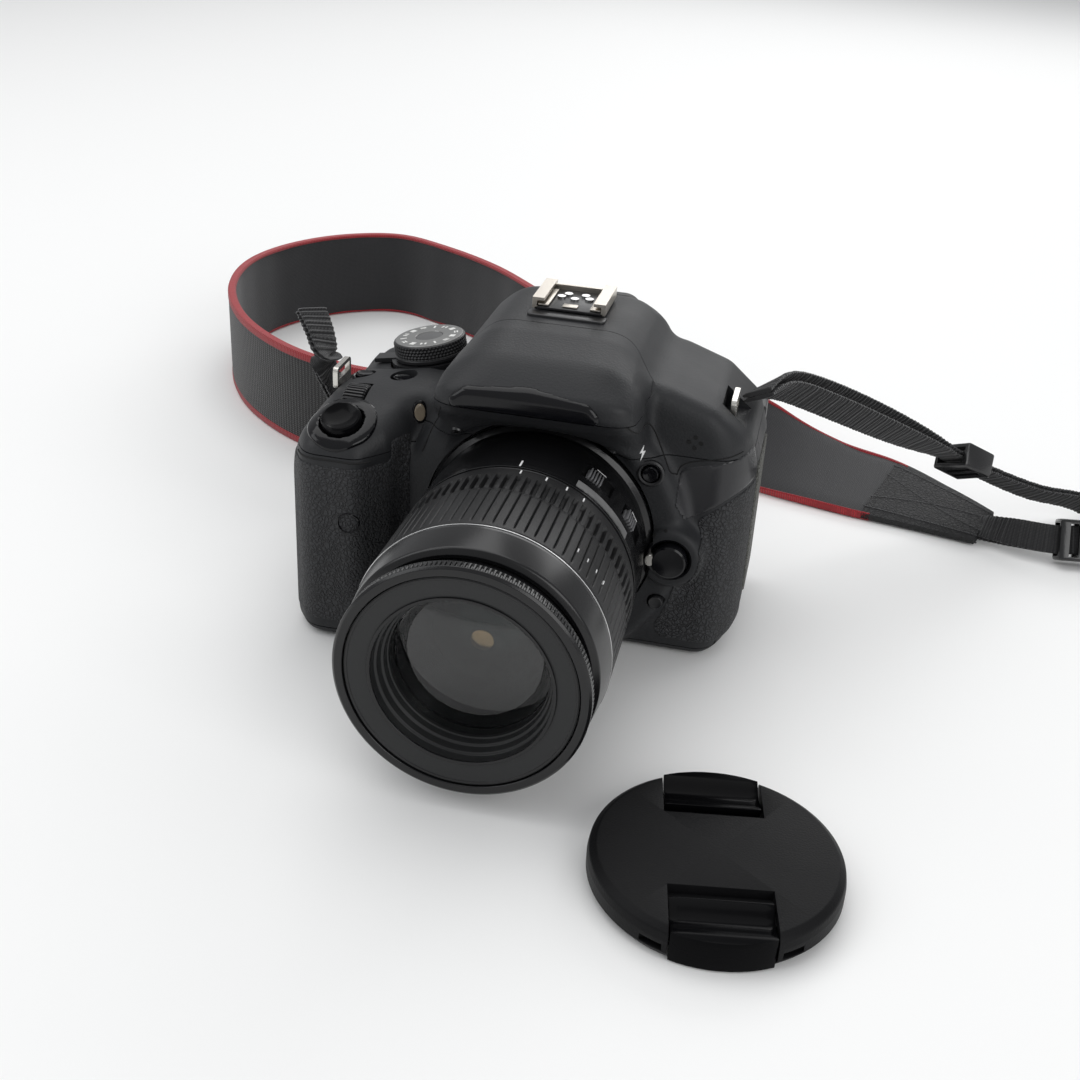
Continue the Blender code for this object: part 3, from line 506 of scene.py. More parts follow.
def dress(piece, body, slot, material, *replaced):
    """Gives a piece its material and shading, and fits it into the frame."""
    piece.data.materials.clear()
    piece.data.materials.append(MATERIALS[material])
    finish_mesh(piece)
    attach(piece, body)
    if replaced:
        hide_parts(*replaced)
    return piece


# ---------------------------------------------------------------- materials


def plastic(name, colour, roughness, grain=900.0, bump=0.05, vary=0.12, coat=0.0, metallic=0.0,
            specular=0.5):
    """Moulded plastic, metal or rubber: fine grain, a slow change of colour and faint smudges."""
    made = bpy.data.materials.new(name)
    made.use_nodes = True
    tree = made.node_tree
    shader = tree.nodes["Principled BSDF"]
    shader.inputs["Metallic"].default_value = metallic
    shader.inputs["Coat Weight"].default_value = coat
    shader.inputs["Specular IOR Level"].default_value = specular
    place_node = tree.nodes.new("ShaderNodeTexCoord")
    slow = tree.nodes.new("ShaderNodeTexNoise")
    slow.inputs["Scale"].default_value = 38.0
    slow.inputs["Detail"].default_value = 3.0
    fine = tree.nodes.new("ShaderNodeTexNoise")
    fine.inputs["Scale"].default_value = grain
    fine.inputs["Detail"].default_value = 2.0
    for noise in (slow, fine):
        tree.links.new(place_node.outputs["Object"], noise.inputs["Vector"])
    ramp = tree.nodes.new("ShaderNodeValToRGB")
    ramp.color_ramp.elements[0].position = 0.3
    ramp.color_ramp.elements[1].position = 0.72
    ramp.color_ramp.elements[0].color = (*(c * (1 - vary) for c in colour), 1)
    ramp.color_ramp.elements[1].color = (*(c * (1 + vary) for c in colour), 1)
    tree.links.new(slow.outputs["Fac"], ramp.inputs["Fac"])
    tree.links.new(ramp.outputs["Color"], shader.inputs["Base Color"])
    rough = tree.nodes.new("ShaderNodeMapRange")
    rough.inputs["From Min"].default_value = 0.3
    rough.inputs["From Max"].default_value = 0.7
    rough.inputs["To Min"].default_value = roughness * 0.9
    rough.inputs["To Max"].default_value = min(roughness * 1.12, 1.0)
    tree.links.new(slow.outputs["Fac"], rough.inputs["Value"])
    tree.links.new(rough.outputs["Result"], shader.inputs["Roughness"])
    if bump:
        lift = tree.nodes.new("ShaderNodeBump")
        lift.inputs["Strength"].default_value = bump
        lift.inputs["Distance"].default_value = 0.0004
        tree.links.new(fine.outputs["Fac"], lift.inputs["Height"])
        tree.links.new(lift.outputs["Normal"], shader.inputs["Normal"])
    MATERIALS[name] = made


def clear_glass(name, colour, bend, cover):
    """Coated glass: a dark film that hides a share of what is behind it and shines strongly."""
    _, shader = set_up(name, colour, 0.03)
    shader.inputs["IOR"].default_value = bend
    shader.inputs["Alpha"].default_value = cover


def set_up(name, colour, roughness, metallic=0.0):
    made = bpy.data.materials.new(name)
    made.use_nodes = True
    shader = made.node_tree.nodes["Principled BSDF"]
    shader.inputs["Base Color"].default_value = (*colour, 1)
    shader.inputs["Roughness"].default_value = roughness
    shader.inputs["Metallic"].default_value = metallic
    MATERIALS[name] = made
    return made.node_tree, shader


def leather(name, light, dark, pebble, depth):
    """Pebbled rubber or leather: rounded cells with painted shade in the valleys between them, and
    a fine tooth on top.
    """
    tree, shader = set_up(name, light, 0.62)
    where = tree.nodes.new("ShaderNodeTexCoord")
    warp = tree.nodes.new("ShaderNodeTexNoise")
    warp.inputs["Scale"].default_value = pebble * 0.7
    warp.inputs["Detail"].default_value = 2.0
    mixed = tree.nodes.new("ShaderNodeMix")
    mixed.data_type = "VECTOR"
    mixed.inputs["Factor"].default_value = 0.0016
    cells = tree.nodes.new("ShaderNodeTexVoronoi")
    cells.feature = "DISTANCE_TO_EDGE"
    cells.inputs["Scale"].default_value = pebble
    ramp = tree.nodes.new("ShaderNodeMapRange")
    ramp.inputs["From Max"].default_value = 0.22
    ramp.interpolation_type = "SMOOTHSTEP"
    tooth = tree.nodes.new("ShaderNodeTexNoise")
    tooth.inputs["Scale"].default_value = pebble * 4
    link = tree.links.new
    link(where.outputs["Object"], warp.inputs["Vector"])
    link(where.outputs["Object"], mixed.inputs["A"])
    link(warp.outputs["Color"], mixed.inputs["B"])
    link(mixed.outputs["Result"], cells.inputs["Vector"])
    link(where.outputs["Object"], tooth.inputs["Vector"])
    link(cells.outputs["Distance"], ramp.inputs["Value"])
    total = tree.nodes.new("ShaderNodeMath")
    total.operation = "MULTIPLY_ADD"
    total.inputs[1].default_value = 0.12
    link(tooth.outputs["Fac"], total.inputs[0])
    link(ramp.outputs["Result"], total.inputs[2])
    lift = tree.nodes.new("ShaderNodeBump")
    lift.inputs["Strength"].default_value = 0.75
    lift.inputs["Distance"].default_value = depth
    link(total.outputs["Value"], lift.inputs["Height"])
    link(lift.outputs["Normal"], shader.inputs["Normal"])
    # Painted shade: the base colour goes to the dark colour in the valleys between the cells, where
    # the bump sinks.
    cavity_shade_mix = tree.nodes.new("ShaderNodeMix")
    cavity_shade_mix.data_type = "RGBA"
    cavity_shade_mix.inputs["A"].default_value = (*dark, 1)
    cavity_shade_mix.inputs["B"].default_value = (*light, 1)
    link(ramp.outputs["Result"], cavity_shade_mix.inputs["Factor"])
    link(cavity_shade_mix.outputs["Result"], shader.inputs["Base Color"])


def fabric(name, light, dark, across, along, depth, rough=0.85, sheen=0.25):
    """Woven cloth on a strap: threads over and under, laid out along the strap's own run, with
    painted shade on the low parts of the weave.
    """
    tree, shader = set_up(name, light, rough)
    shader.inputs["Sheen Weight"].default_value = sheen
    shader.inputs["Sheen Roughness"].default_value = 0.5
    where = tree.nodes.new("ShaderNodeUVMap")
    where.uv_map = "UVMap"
    link = tree.links.new
    waves = []
    for scale, direction in ((across, "Y"), (along, "X")):
        wave = tree.nodes.new("ShaderNodeTexWave")
        wave.bands_direction = direction
        wave.inputs["Scale"].default_value = scale
        wave.inputs["Distortion"].default_value = 0.6
        wave.inputs["Detail Scale"].default_value = 2.0
        link(where.outputs["UV"], wave.inputs["Vector"])
        waves.append(wave)
    weave = tree.nodes.new("ShaderNodeMath")
    weave.operation = "MULTIPLY"
    link(waves[0].outputs["Fac"], weave.inputs[0])
    link(waves[1].outputs["Fac"], weave.inputs[1])
    fuzz = tree.nodes.new("ShaderNodeTexNoise")
    fuzz.inputs["Scale"].default_value = 700
    link(where.outputs["UV"], fuzz.inputs["Vector"])
    total = tree.nodes.new("ShaderNodeMath")
    total.operation = "MULTIPLY_ADD"
    total.inputs[1].default_value = 0.35
    link(fuzz.outputs["Fac"], total.inputs[0])
    link(weave.outputs["Value"], total.inputs[2])
    lift = tree.nodes.new("ShaderNodeBump")
    lift.inputs["Strength"].default_value = 0.8
    lift.inputs["Distance"].default_value = depth
    link(total.outputs["Value"], lift.inputs["Height"])
    link(lift.outputs["Normal"], shader.inputs["Normal"])
    # Painted shade: the colour goes to the dark one where the weave is low, with a random fuzz in
    # tone on top.
    cavity_shade_mix = tree.nodes.new("ShaderNodeMix")
    cavity_shade_mix.data_type = "RGBA"
    cavity_shade_mix.inputs["A"].default_value = (*dark, 1)
    cavity_shade_mix.inputs["B"].default_value = (*light, 1)
    link(total.outputs["Value"], cavity_shade_mix.inputs["Factor"])
    link(cavity_shade_mix.outputs["Result"], shader.inputs["Base Color"])


def make_materials():
    plastic("charcoal", (0.0150, 0.0156, 0.0172), 0.52, 1500, 0.22, 0.14, specular=0.34)
    plastic("black_satin", (0.009, 0.009, 0.010), 0.36, 1500, 0.08)
    plastic("black_gloss", (0.003, 0.003, 0.004), 0.14, 600, 0.01, specular=0.30)
    plastic("release_black", (0.003, 0.003, 0.0035), 0.20, 600, 0.01, specular=0.08)
    plastic("black_panel", (0.010, 0.010, 0.012), 0.30, 1500, 0.05)
    plastic("bright_metal", (0.66, 0.64, 0.60), 0.27, 2500, 0.05, 0.06, metallic=1.0)
    plastic("shoe_metal", (0.60, 0.56, 0.50), 0.33, 2500, 0.10, 0.08, metallic=1.0)
    plastic("dark_metal", (0.09, 0.09, 0.095), 0.36, 1800, 0.08, 0.1, metallic=1.0)
    plastic("screw_black", (0.012, 0.012, 0.013), 0.28, 1500, 0.06, coat=0.2)
    # Near-black for the seam hairlines, and painted shade for the microphone and speaker holes.
    plastic("seam_dark_hole_shade", (0.0015, 0.0015, 0.0015), 0.85, 1500, 0.0)
    plastic("lens_black", (0.0055, 0.0055, 0.006), 0.22, 1500, 0.04, specular=0.42)
    plastic("lens_gloss", (0.004, 0.004, 0.0045), 0.24, 600, 0.0, specular=0.42)
    plastic("name_ring", (0.012, 0.0125, 0.013), 0.40, 2200, 0.08, specular=0.38)
    plastic("ring_rubber", (0.0085, 0.0085, 0.009), 0.45, 1300, 0.12, specular=0.34)
    plastic("switch_grey", (0.13, 0.13, 0.135), 0.35, 1300, 0.05)
    plastic("speckle", (0.22, 0.22, 0.22), 0.40, 3200, 0.7, 0.6, metallic=0.6)
    plastic("silver_line", (0.55, 0.55, 0.55), 0.22, 900, 0.0, metallic=1.0)
    plastic("white_print", (0.70, 0.70, 0.70), 0.5, 900, 0.0)
    plastic("deep_coat", (0.010, 0.014, 0.013), 0.12, 900, 0.0, 0.0, metallic=1.0)
    plastic("amber_coat", (0.26, 0.19, 0.10), 0.16, 900, 0.0, 0.0, metallic=1.0)
    plastic("dial_silver", (0.26, 0.26, 0.255), 0.34, 2600, 0.10, 0.08, metallic=0.75)
    plastic("dial_centre", (0.16, 0.16, 0.16), 0.30, 2600, 0.08, 0.1, metallic=0.8)
    plastic("dial_ink", (0.66, 0.66, 0.64), 0.5, 900, 0.0)
    plastic("lamp_lens", (0.20, 0.165, 0.12), 0.12, 700, 0.0, coat=0.5)
    plastic("back_panel", (0.012, 0.012, 0.013), 0.42, 1600, 0.14)
    plastic("screen_black", (0.004, 0.004, 0.005), 0.05, 500, 0.0, coat=0.5)
    plastic("eye_glass", (0.006, 0.008, 0.010), 0.04, 500, 0.0, coat=0.6)
    plastic("flash_lens", (0.30, 0.30, 0.29), 0.20, 500, 0.3)
    plastic("mirror", (0.80, 0.80, 0.80), 0.04, 900, 0.0, 0.02, metallic=1.0)
    plastic("board_green", (0.012, 0.06, 0.03), 0.45, 900, 0.1, 0.3)
    plastic("cap_black", (0.0045, 0.0045, 0.005), 0.46, 1900, 0.16, 0.15, specular=0.13)
    plastic("cap_gloss", (0.0022, 0.0022, 0.0026), 0.16, 900, 0.02, specular=0.04)
    plastic("buckle_black", (0.0065, 0.0065, 0.007), 0.24, 1200, 0.05, coat=0.15)
    plastic("thread_black", (0.035, 0.035, 0.037), 0.6, 2500, 0.3)
    # The second, darker colour of each leather and fabric below is painted shade for its valleys
    # and low threads.
    leather("leatherette", (0.0225, 0.0235, 0.0260), (0.006, 0.006, 0.007), 800, 0.00045)
    leather("side_olive", (0.110, 0.111, 0.100), (0.055, 0.055, 0.048), 800, 0.0003)
    leather("strap_leather", (0.009, 0.009, 0.010), (0.003, 0.003, 0.0035), 700, 0.0003)
    fabric("strap_weave", (0.0130, 0.0128, 0.0125), (0.005, 0.005, 0.005), 380, 190, 0.0003)
    fabric("strap_lining", (0.0145, 0.0145, 0.0165), (0.006, 0.006, 0.0075), 500, 500, 0.00012, 0.7)
    fabric("red_edge", (0.42, 0.012, 0.020), (0.20, 0.004, 0.008), 700, 350, 0.0003)
    fabric("webbing_black", (0.012, 0.012, 0.013), (0.004, 0.004, 0.005), 600, 300, 0.0003)
    clear_glass("front_glass", (0.002, 0.004, 0.004), 2.9, 0.17)


# ---------------------------------------------------------------- camera, floor and light


def make_camera():
    azimuth, elevation, roll = (math.radians(angle) for angle in (11.36, 28.27, 3.31))
    back = Vector((
        math.sin(azimuth) * math.cos(elevation), -math.cos(azimuth) * math.cos(elevation),
        math.sin(elevation),
    ))
    right = Vector((math.cos(azimuth), math.sin(azimuth), 0))
    up = back.cross(right)
    side = right * math.cos(roll) + up * math.sin(roll)
    top = up * math.cos(roll) - right * math.sin(roll)
    data = bpy.data.cameras.new("camera")
    data.lens = 46.8
    data.sensor_width = 36.0
    data.clip_start = 0.01
    camera = new_object("camera", data)
    turn = Matrix((side, top, back)).transposed().to_4x4()
    camera.matrix_world = Matrix.Translation((0.07244, -0.40147, 0.2303)) @ turn
    bpy.context.scene.camera = camera
    bpy.context.scene.view_settings.view_transform = "Standard"


def area_light(name, spot, target, size, power, colour=(1, 1, 1)):
    data = bpy.data.lights.new(name, "AREA")
    data.shape = "RECTANGLE"
    data.size, data.size_y = size
    data.energy = power
    data.color = colour
    lamp = new_object(name, data)
    lamp.location = spot
    lamp.rotation_euler = (Vector(target) - Vector(spot)).to_track_quat("-Z", "Y").to_euler()


def make_studio():
    mesh = bmesh.new()
    bmesh.ops.create_grid(mesh, x_segments=1, y_segments=1, size=6.0)
    floor = from_bmesh("floor", mesh)
    floor.location = (0, 0, -0.0002)
    paint = bpy.data.materials.new("floor_paint")
    paint.use_nodes = True
    shader = paint.node_tree.nodes["Principled BSDF"]
    shader.inputs["Base Color"].default_value = (0.88, 0.88, 0.872, 1)
    shader.inputs["Roughness"].default_value = 0.55
    shader.inputs["Specular IOR Level"].default_value = 0.2
    floor.data.materials.append(paint)
    middle = (0, 0, 0.04)
    area_light("sky_box", (-0.35, 0.35, 1.5), middle, (1.7, 1.4), 11.0)
    area_light("window", (-1.1, -0.5, 0.9), middle, (0.9, 0.9), 4.6, (0.97, 0.985, 1))
    area_light("fill", (1.1, -1.0, 0.8), middle, (1.2, 1.0), 9.0)
    area_light("back_rim", (0.3, 1.4, 0.8), middle, (1.4, 0.6), 6.0)
    world = bpy.data.worlds.new("world")
    bpy.context.scene.world = world
    world.use_nodes = True
    world.node_tree.nodes["Background"].inputs["Color"].default_value = (0.93, 0.94, 0.96, 1)
    world.node_tree.nodes["Background"].inputs["Strength"].default_value = 0.50


# ---------------------------------------------------------------- turned pieces


class Axle:
    """A line that pieces are turned about. Heights run along its axis from its origin."""

    def __init__(self, origin, axis, zero=(0, 0, 1)):
        self.origin = Vector(origin)
        self.axis = Vector(axis).normalized()
        self.up = (Vector(zero) - self.axis * Vector(zero).dot(self.axis)).normalized()
        self.side = self.up.cross(self.axis)

    def points(self, radius, angle, height):
        """Millimetre points for arrays of radius, angle from up in radians, and height."""
        radius, angle, height = np.broadcast_arrays(radius, angle, height)
        spread = [radius * np.sin(angle), radius * np.cos(angle), height]
        arms = np.array([self.side, self.up, self.axis])
        return np.stack(spread, axis=-1).reshape(-1, 3) @ arms + np.array(self.origin)

    def matrix(self, angle=0.0, radius=0.0, height=0.0):
        """A frame in metres on the axle: its X runs round, Y runs outwards and Z runs along."""
        out = self.up * math.cos(angle) + self.side * math.sin(angle)
        around = out.cross(self.axis)
        spot = self.origin + out * radius + self.axis * height
        turn = Matrix((around, out, self.axis)).transposed().to_4x4()
        return Matrix.Translation(at(*spot)) @ turn


LENS = Axle((0, 0, AXIS_Z), (0, -1, 0))
DIAL = Axle(DIAL_TOP, DIAL_AXIS)


def split_runs(outline, longest):
    """An outline with points added wherever two of them are further apart than longest."""
    found = []
    for (au, av), (bu, bv) in zip(outline, outline[1:] + outline[:1]):
        count = max(1, math.ceil(math.hypot(bu - au, bv - av) / longest))
        for step in range(count):
            found.append((au + (bu - au) * step / count, av + (bv - av) * step / count))
    return found


def turned(name, axle, corners, steps=160, relief=None, longest=1e9, arc_points=5):
    """A closed profile of (radius, height, rounding) corners turned about an axle.

    A profile that starts and ends at radius 0 makes a solid with no bore. relief(radius,
    height, angle) is the change of radius, for ribs and knurls.
    """
    solid = corners[0][0] <= 0 and corners[-1][0] <= 0
    outline = rounded(corners, arc_points)
    outline = split_runs(outline, longest)
    if solid:
        outline = [point for point in outline if point[0] > 1e-6]
    radius = np.array([r for r, _ in outline])[None, :]
    height = np.array([h for _, h in outline])[None, :]
    angle = np.linspace(0, 2 * math.pi, steps, endpoint=False)[:, None]
    radius, height, angle = np.broadcast_arrays(radius, height, angle)
    change = 0 if relief is None else relief(radius, height, angle)
    points = axle.points(radius + change, angle, height)
    rows, columns = steps, len(outline)
    ring = np.arange(rows)
    nxt = (ring + 1) % rows
    last = columns - 1 if solid else columns
    faces = []
    for k in range(last):
        after = (k + 1) % columns
        faces.append(np.stack([ring * columns + k, nxt * columns + k,
                               nxt * columns + after, ring * columns + after], axis=1))
    faces = np.concatenate(faces).tolist()
    if solid:
        ends = axle.points(0.0, 0.0, np.array([corners[0][1], corners[-1][1]]))
        base = len(points)
        points = np.concatenate([points, ends])
        for k, tip in ((0, base), (columns - 1, base + 1)):
            faces += [[tip, int(i * columns + k), int(j * columns + k)] for i, j in zip(ring, nxt)]
    obj = mesh_object(name, points, faces)
    mesh = bmesh.new()
    mesh.from_mesh(obj.data)
    bmesh.ops.recalc_face_normals(mesh, faces=mesh.faces)
    mesh.to_mesh(obj.data)
    mesh.free()
    return obj


def arc_band(name, axle, start, stop, inner, outer, front, back, steps=40):
    """A stretch of a ring between two angles in degrees."""
    mesh = bmesh.new()
    rings = []
    for turn in np.radians(np.linspace(start, stop, steps)):
        profile = axle.points(np.array([inner, outer, outer, inner]), turn,
                              np.array([front, front, back, back]))
        rings.append([mesh.verts.new(point) for point in place(profile)])
    for first, second in zip(rings, rings[1:]):
        for k in range(4):
            after = (k + 1) % 4
            mesh.faces.new((first[k], first[after], second[after], second[k]))
    mesh.faces.new(rings[0])
    mesh.faces.new(list(reversed(rings[-1])))
    return from_bmesh(name, mesh)


def block(matrix, low, high, name="block", edge=0.0):
    """A box in a frame of its own, in millimetres along that frame's axes."""
    mesh = bmesh.new()
    bmesh.ops.create_cube(mesh, size=1.0)
    low, high = Vector(low), Vector(high)
    bmesh.ops.scale(mesh, vec=(high - low) * MM, verts=mesh.verts)
    bmesh.ops.translate(mesh, vec=(high + low) / 2 * MM, verts=mesh.verts)
    bmesh.ops.transform(mesh, matrix=matrix, verts=mesh.verts)
    obj = from_bmesh(name, mesh)
    return rounded_edges(obj, edge, 2) if edge else obj


def merge(name, pieces):
    """Separate closed bodies as one object."""
    mesh = bmesh.new()
    for piece in pieces:
        mesh.from_mesh(piece.data)
        discard(piece)
    data = bpy.data.meshes.new(name)
    mesh.to_mesh(data)
    mesh.free()
    return new_object(name, data)


# ---------------------------------------------------------------- the lens


ZOOM_RIBS = 78


def zoom_relief(radius, height, angle):
    """Short deep slots at the back of the zoom ring, and narrow grooves in front of them."""
    phase = np.abs((angle * ZOOM_RIBS / (2 * math.pi)) % 1.0 - 0.5)
    deep = np.clip((0.25 - phase) / 0.06, 0, 1)
    shallow = np.clip((0.085 - phase) / 0.05, 0, 1)
    back = np.clip((height - 35.6) / 0.4, 0, 1) * np.clip((43.6 - height) / 0.6, 0, 1)
    front = np.clip((height - 44.6) / 0.4, 0, 1) * np.clip((63.4 - height) / 0.5, 0, 1)
    step = np.clip((height - 43.8) / 0.3, 0, 1) * np.clip((44.6 - height) / 0.3, 0, 1)
    return -np.where(radius > 33, deep * back * 1.2 + shallow * front * 0.6 + step * 0.25, 0)


def rim_relief(radius, height, angle):
    """Fine ribs round the focus ring."""
    phase = (angle * 168 / (2 * math.pi)) % 1.0
    cut = np.clip((0.26 - np.abs(phase - 0.5)) / 0.1, 0, 1)
    zone = np.clip((height - 82.35) / 0.2, 0, 1) * np.clip((84.75 - height) / 0.2, 0, 1)
    return -np.where(radius > 32.2, cut * zone * 0.42, 0)


def make_lens():
    barrel = turned("lens_barrel_skin", LENS, [
        (31.0, 65.0, 0), (31.0, 31.2, 0.2), (33.2, 31.0, 0.3), (33.5, 28.5, 0.3), (33.5, 24.6, 0.3),
        (33.1, 24.2, 0.2), (33.1, 12.5, 0.3), (32.5, 11.6, 0.4), (32.3, 3.5, 0.4), (33.9, 2.6, 0.5),
        (33.9, 0.35, 0.2),
        (26.6, 0.35, 0), (26.6, -4, 0.2), (24.8, -4, 0.2), (24.8, 34, 0), (30.35, 34, 0),
        (30.35, 65.0, 0)], 192)
    pockets = []
    for degrees in (36, 63):
        pockets.append(block(LENS.matrix(math.radians(degrees), 0.0, 17.5),
                             (-5.2, 31.4, -3.4), (5.2, 40, 3.4)))
    boolean(barrel, pockets)
    dress(barrel, "lens", "gloss_plastic", "lens_black", "lens_barrel")
    band_piece = turned("rear_band", LENS, [
        (33.3, 30.4, 0.1), (33.62, 30.4, 0.1), (33.62, 29.2, 0.1), (33.3, 29.2, 0.1)], 192)
    dress(band_piece, "lens", "gloss_plastic", "lens_gloss")
    for degrees, name, body in ((36, "focus_mode_switch", "focus_switch"),
                                (63, "stabiliser_switch", "stabiliser")):
        spot = LENS.matrix(math.radians(degrees), 0.0, 17.5)
        knob = [block(spot, (-3.6, 31.6, -3.0), (1.2, 32.5, 3.0), edge=0.2)]
        for step in range(5):
            across = -3.3 + step * 0.95
            knob.append(block(spot, (across, 32.3, -2.7), (across + 0.5, 33.7, 2.7), edge=0.15))
        dress(merge(name + "_ribbed", knob), body, "gloss_plastic", "switch_grey", name)
    dress(arc_band("speckled_band", LENS, 27, 61, 33.3, 33.72, 28.9, 25.6), "lens",
          "bright_metal", "speckle")
    marks = []
    for degrees, height, wide, long in ((0, 28.0, 0.45, 3.4), (36, 12.9, 3.2, 0.35),
                                        (63, 12.9, 3.2, 0.35)):
        spot = LENS.matrix(math.radians(degrees), 0.0, height)
        radius = 33.53 if degrees == 0 else 33.0
        marks.append(block(spot, (-wide / 2, radius - 0.3, -long / 2),
                           (wide / 2, radius + 0.12, long / 2)))
    dress(merge("lens_index_marks", marks), "lens", "dial_print", "white_print")
    ring = turned("zoom_ring_ribbed", LENS, [
        (33.9, 65.1, 0.3), (33.9, 60, 0), (33.6, 31.5, 0.4), (31.5, 31.5, 0.1),
        (31.5, 65.1, 0.1)], ZOOM_RIBS * 14, zoom_relief, 0.9)
    dress(ring, "zoom", "grip_rubber", "ring_rubber", "zoom_ring")
    scale = []
    for degrees in (2, 14, 24, 33):
        spot = LENS.matrix(math.radians(degrees), 0.0, 33.3)
        scale.append(block(spot, (-0.2, 33.4, -0.9), (0.2, 33.78, 0.9)))
    for degrees in (40, 46, 52, 58):
        spot = LENS.matrix(math.radians(degrees), 0.0, 56.5)
        scale.append(block(spot, (-0.16, 33.4, -0.8), (0.16, 33.97, 0.8)))
    dress(merge("zoom_scale_marks", scale), "zoom", "dial_print", "white_print")
    line = turned("silver_line", LENS, [
        (33.2, 65.95, 0.05), (33.98, 65.95, 0.1), (33.98, 65.55, 0.1), (33.2, 65.55, 0.05)], 192)
    dress(line, "lens", "bright_metal", "silver_line")
    collar = turned("lens_collar_skin", LENS, [
        (31.2, 77.0, 0.9), (32.9, 76.2, 1.0), (33.8, 67, 0.6), (33.8, 65.4, 0.2), (30.35, 65.4, 0),
        (30.35, 77.0, 0.2)], 192)
    dress(collar, "lens", "gloss_plastic", "lens_gloss", "lens_collar")
    tube = turned("inner_barrel_skin", LENS, [
        (30.0, 81.9, 0.2), (30.0, 42, 0.2), (28.0, 42, 0.2), (28.0, 81.9, 0.2)], 160)
    dress(tube, "lens_tube", "gloss_plastic", "lens_black", "inner_barrel")
    rim = turned("focus_ring_ribbed", LENS, [
        (31.9, 85.5, 0.35), (32.6, 84.9, 0.3), (32.6, 82.1, 0.3), (29.9, 82.1, 0.1),
        (29.9, 85.5, 0.35)], 168 * 6, rim_relief, 0.45)
    dress(rim, "focus", "gloss_plastic", "lens_black", "focus_ring")
    bezel = turned("front_bezel_skin", LENS, [
        (29.65, 85.0, 0.25), (29.65, 82.0, 0.1), (27.7, 82.0, 0), (27.7, 73.4, 0), (20.6, 73.4, 0),
        (20.6, 77.2, 0.2), (21.0, 77.2, 0.2), (21.2, 79.2, 0.25), (21.9, 79.4, 0.3),
        (22.2, 81.6, 0.3), (22.9, 81.8, 0.3), (23.3, 84.3, 0.35)], 192)
    dress(bezel, "focus", "gloss_plastic", "name_ring", "front_bezel")
    for inner, outer, height, depth in ((23.0, 23.9, 84.72, 0.5), (28.7, 29.4, 85.02, 0.4)):
        ringlet = turned(f"gloss_ring_{height:.0f}", LENS, [
            (inner, height, 0.15), (outer, height + 0.06, 0.15), (outer, height - depth, 0.05),
            (inner, height - depth, 0.05)], 192)
        dress(ringlet, "focus", "gloss_plastic", "lens_gloss")
    dome = [(20.4, 76.4)]
    reach, rise = 20.4, 4.0
    curve = (reach * reach + rise * rise) / (2 * rise)
    for step in range(1, 14):
        radius = reach * (1 - step / 14)
        dome.append((radius, 80.4 - curve + math.sqrt(curve * curve - radius * radius)))
    back = [(0, 73.0, 0), (20.4, 73.0, 0)]
    glass = turned("front_element_glass", LENS,
                   [(0, 80.4, 0)] + [(r, h, 0) for r, h in reversed(dome)] + back[::-1], 128)
    dress(glass, "focus", "lens_glass", "front_glass", "front_element")
    make_lens_inside()


def make_lens_inside():
    """The dark cone and two inner elements that show through the front glass."""
    cone = turned("lens_cone", LENS, [
        (20.9, 72.8, 0), (20.9, 46, 0), (8.0, 46, 0), (8.0, 47, 0), (19.6, 72.8, 0)], 96)
    dress(cone, "focus", "gloss_plastic", "lens_black")
    for name, radius, height, bulge, finish in (
            ("second_element", 15.2, 60.0, 4.2, "deep_coat"),
            ("third_element", 5.4, 63.2, 1.2, "amber_coat")):
        corners = [(0, height + bulge, 0)]
        for step in range(1, 9):
            share = step / 9
            corners.append((radius * share, height + bulge * (1 - share * share), 0))
        corners += [(radius, height, 0), (radius, height - 1, 0), (0, height - 1, 0)]
        dress(turned(name, LENS, corners, 96), "focus", "lens_glass", finish)


# ---------------------------------------------------------------- skins on the body


def region_skin(grid, form, region, name, lift=0.3, depth=0.9):
    """A thin closed layer of the body's surface inside a region, standing proud by lift."""
    layer = smooth_max(form - lift, -(form + depth), 0.3)
    return grid.mesh(smooth_max(layer, region, 0.5), name)


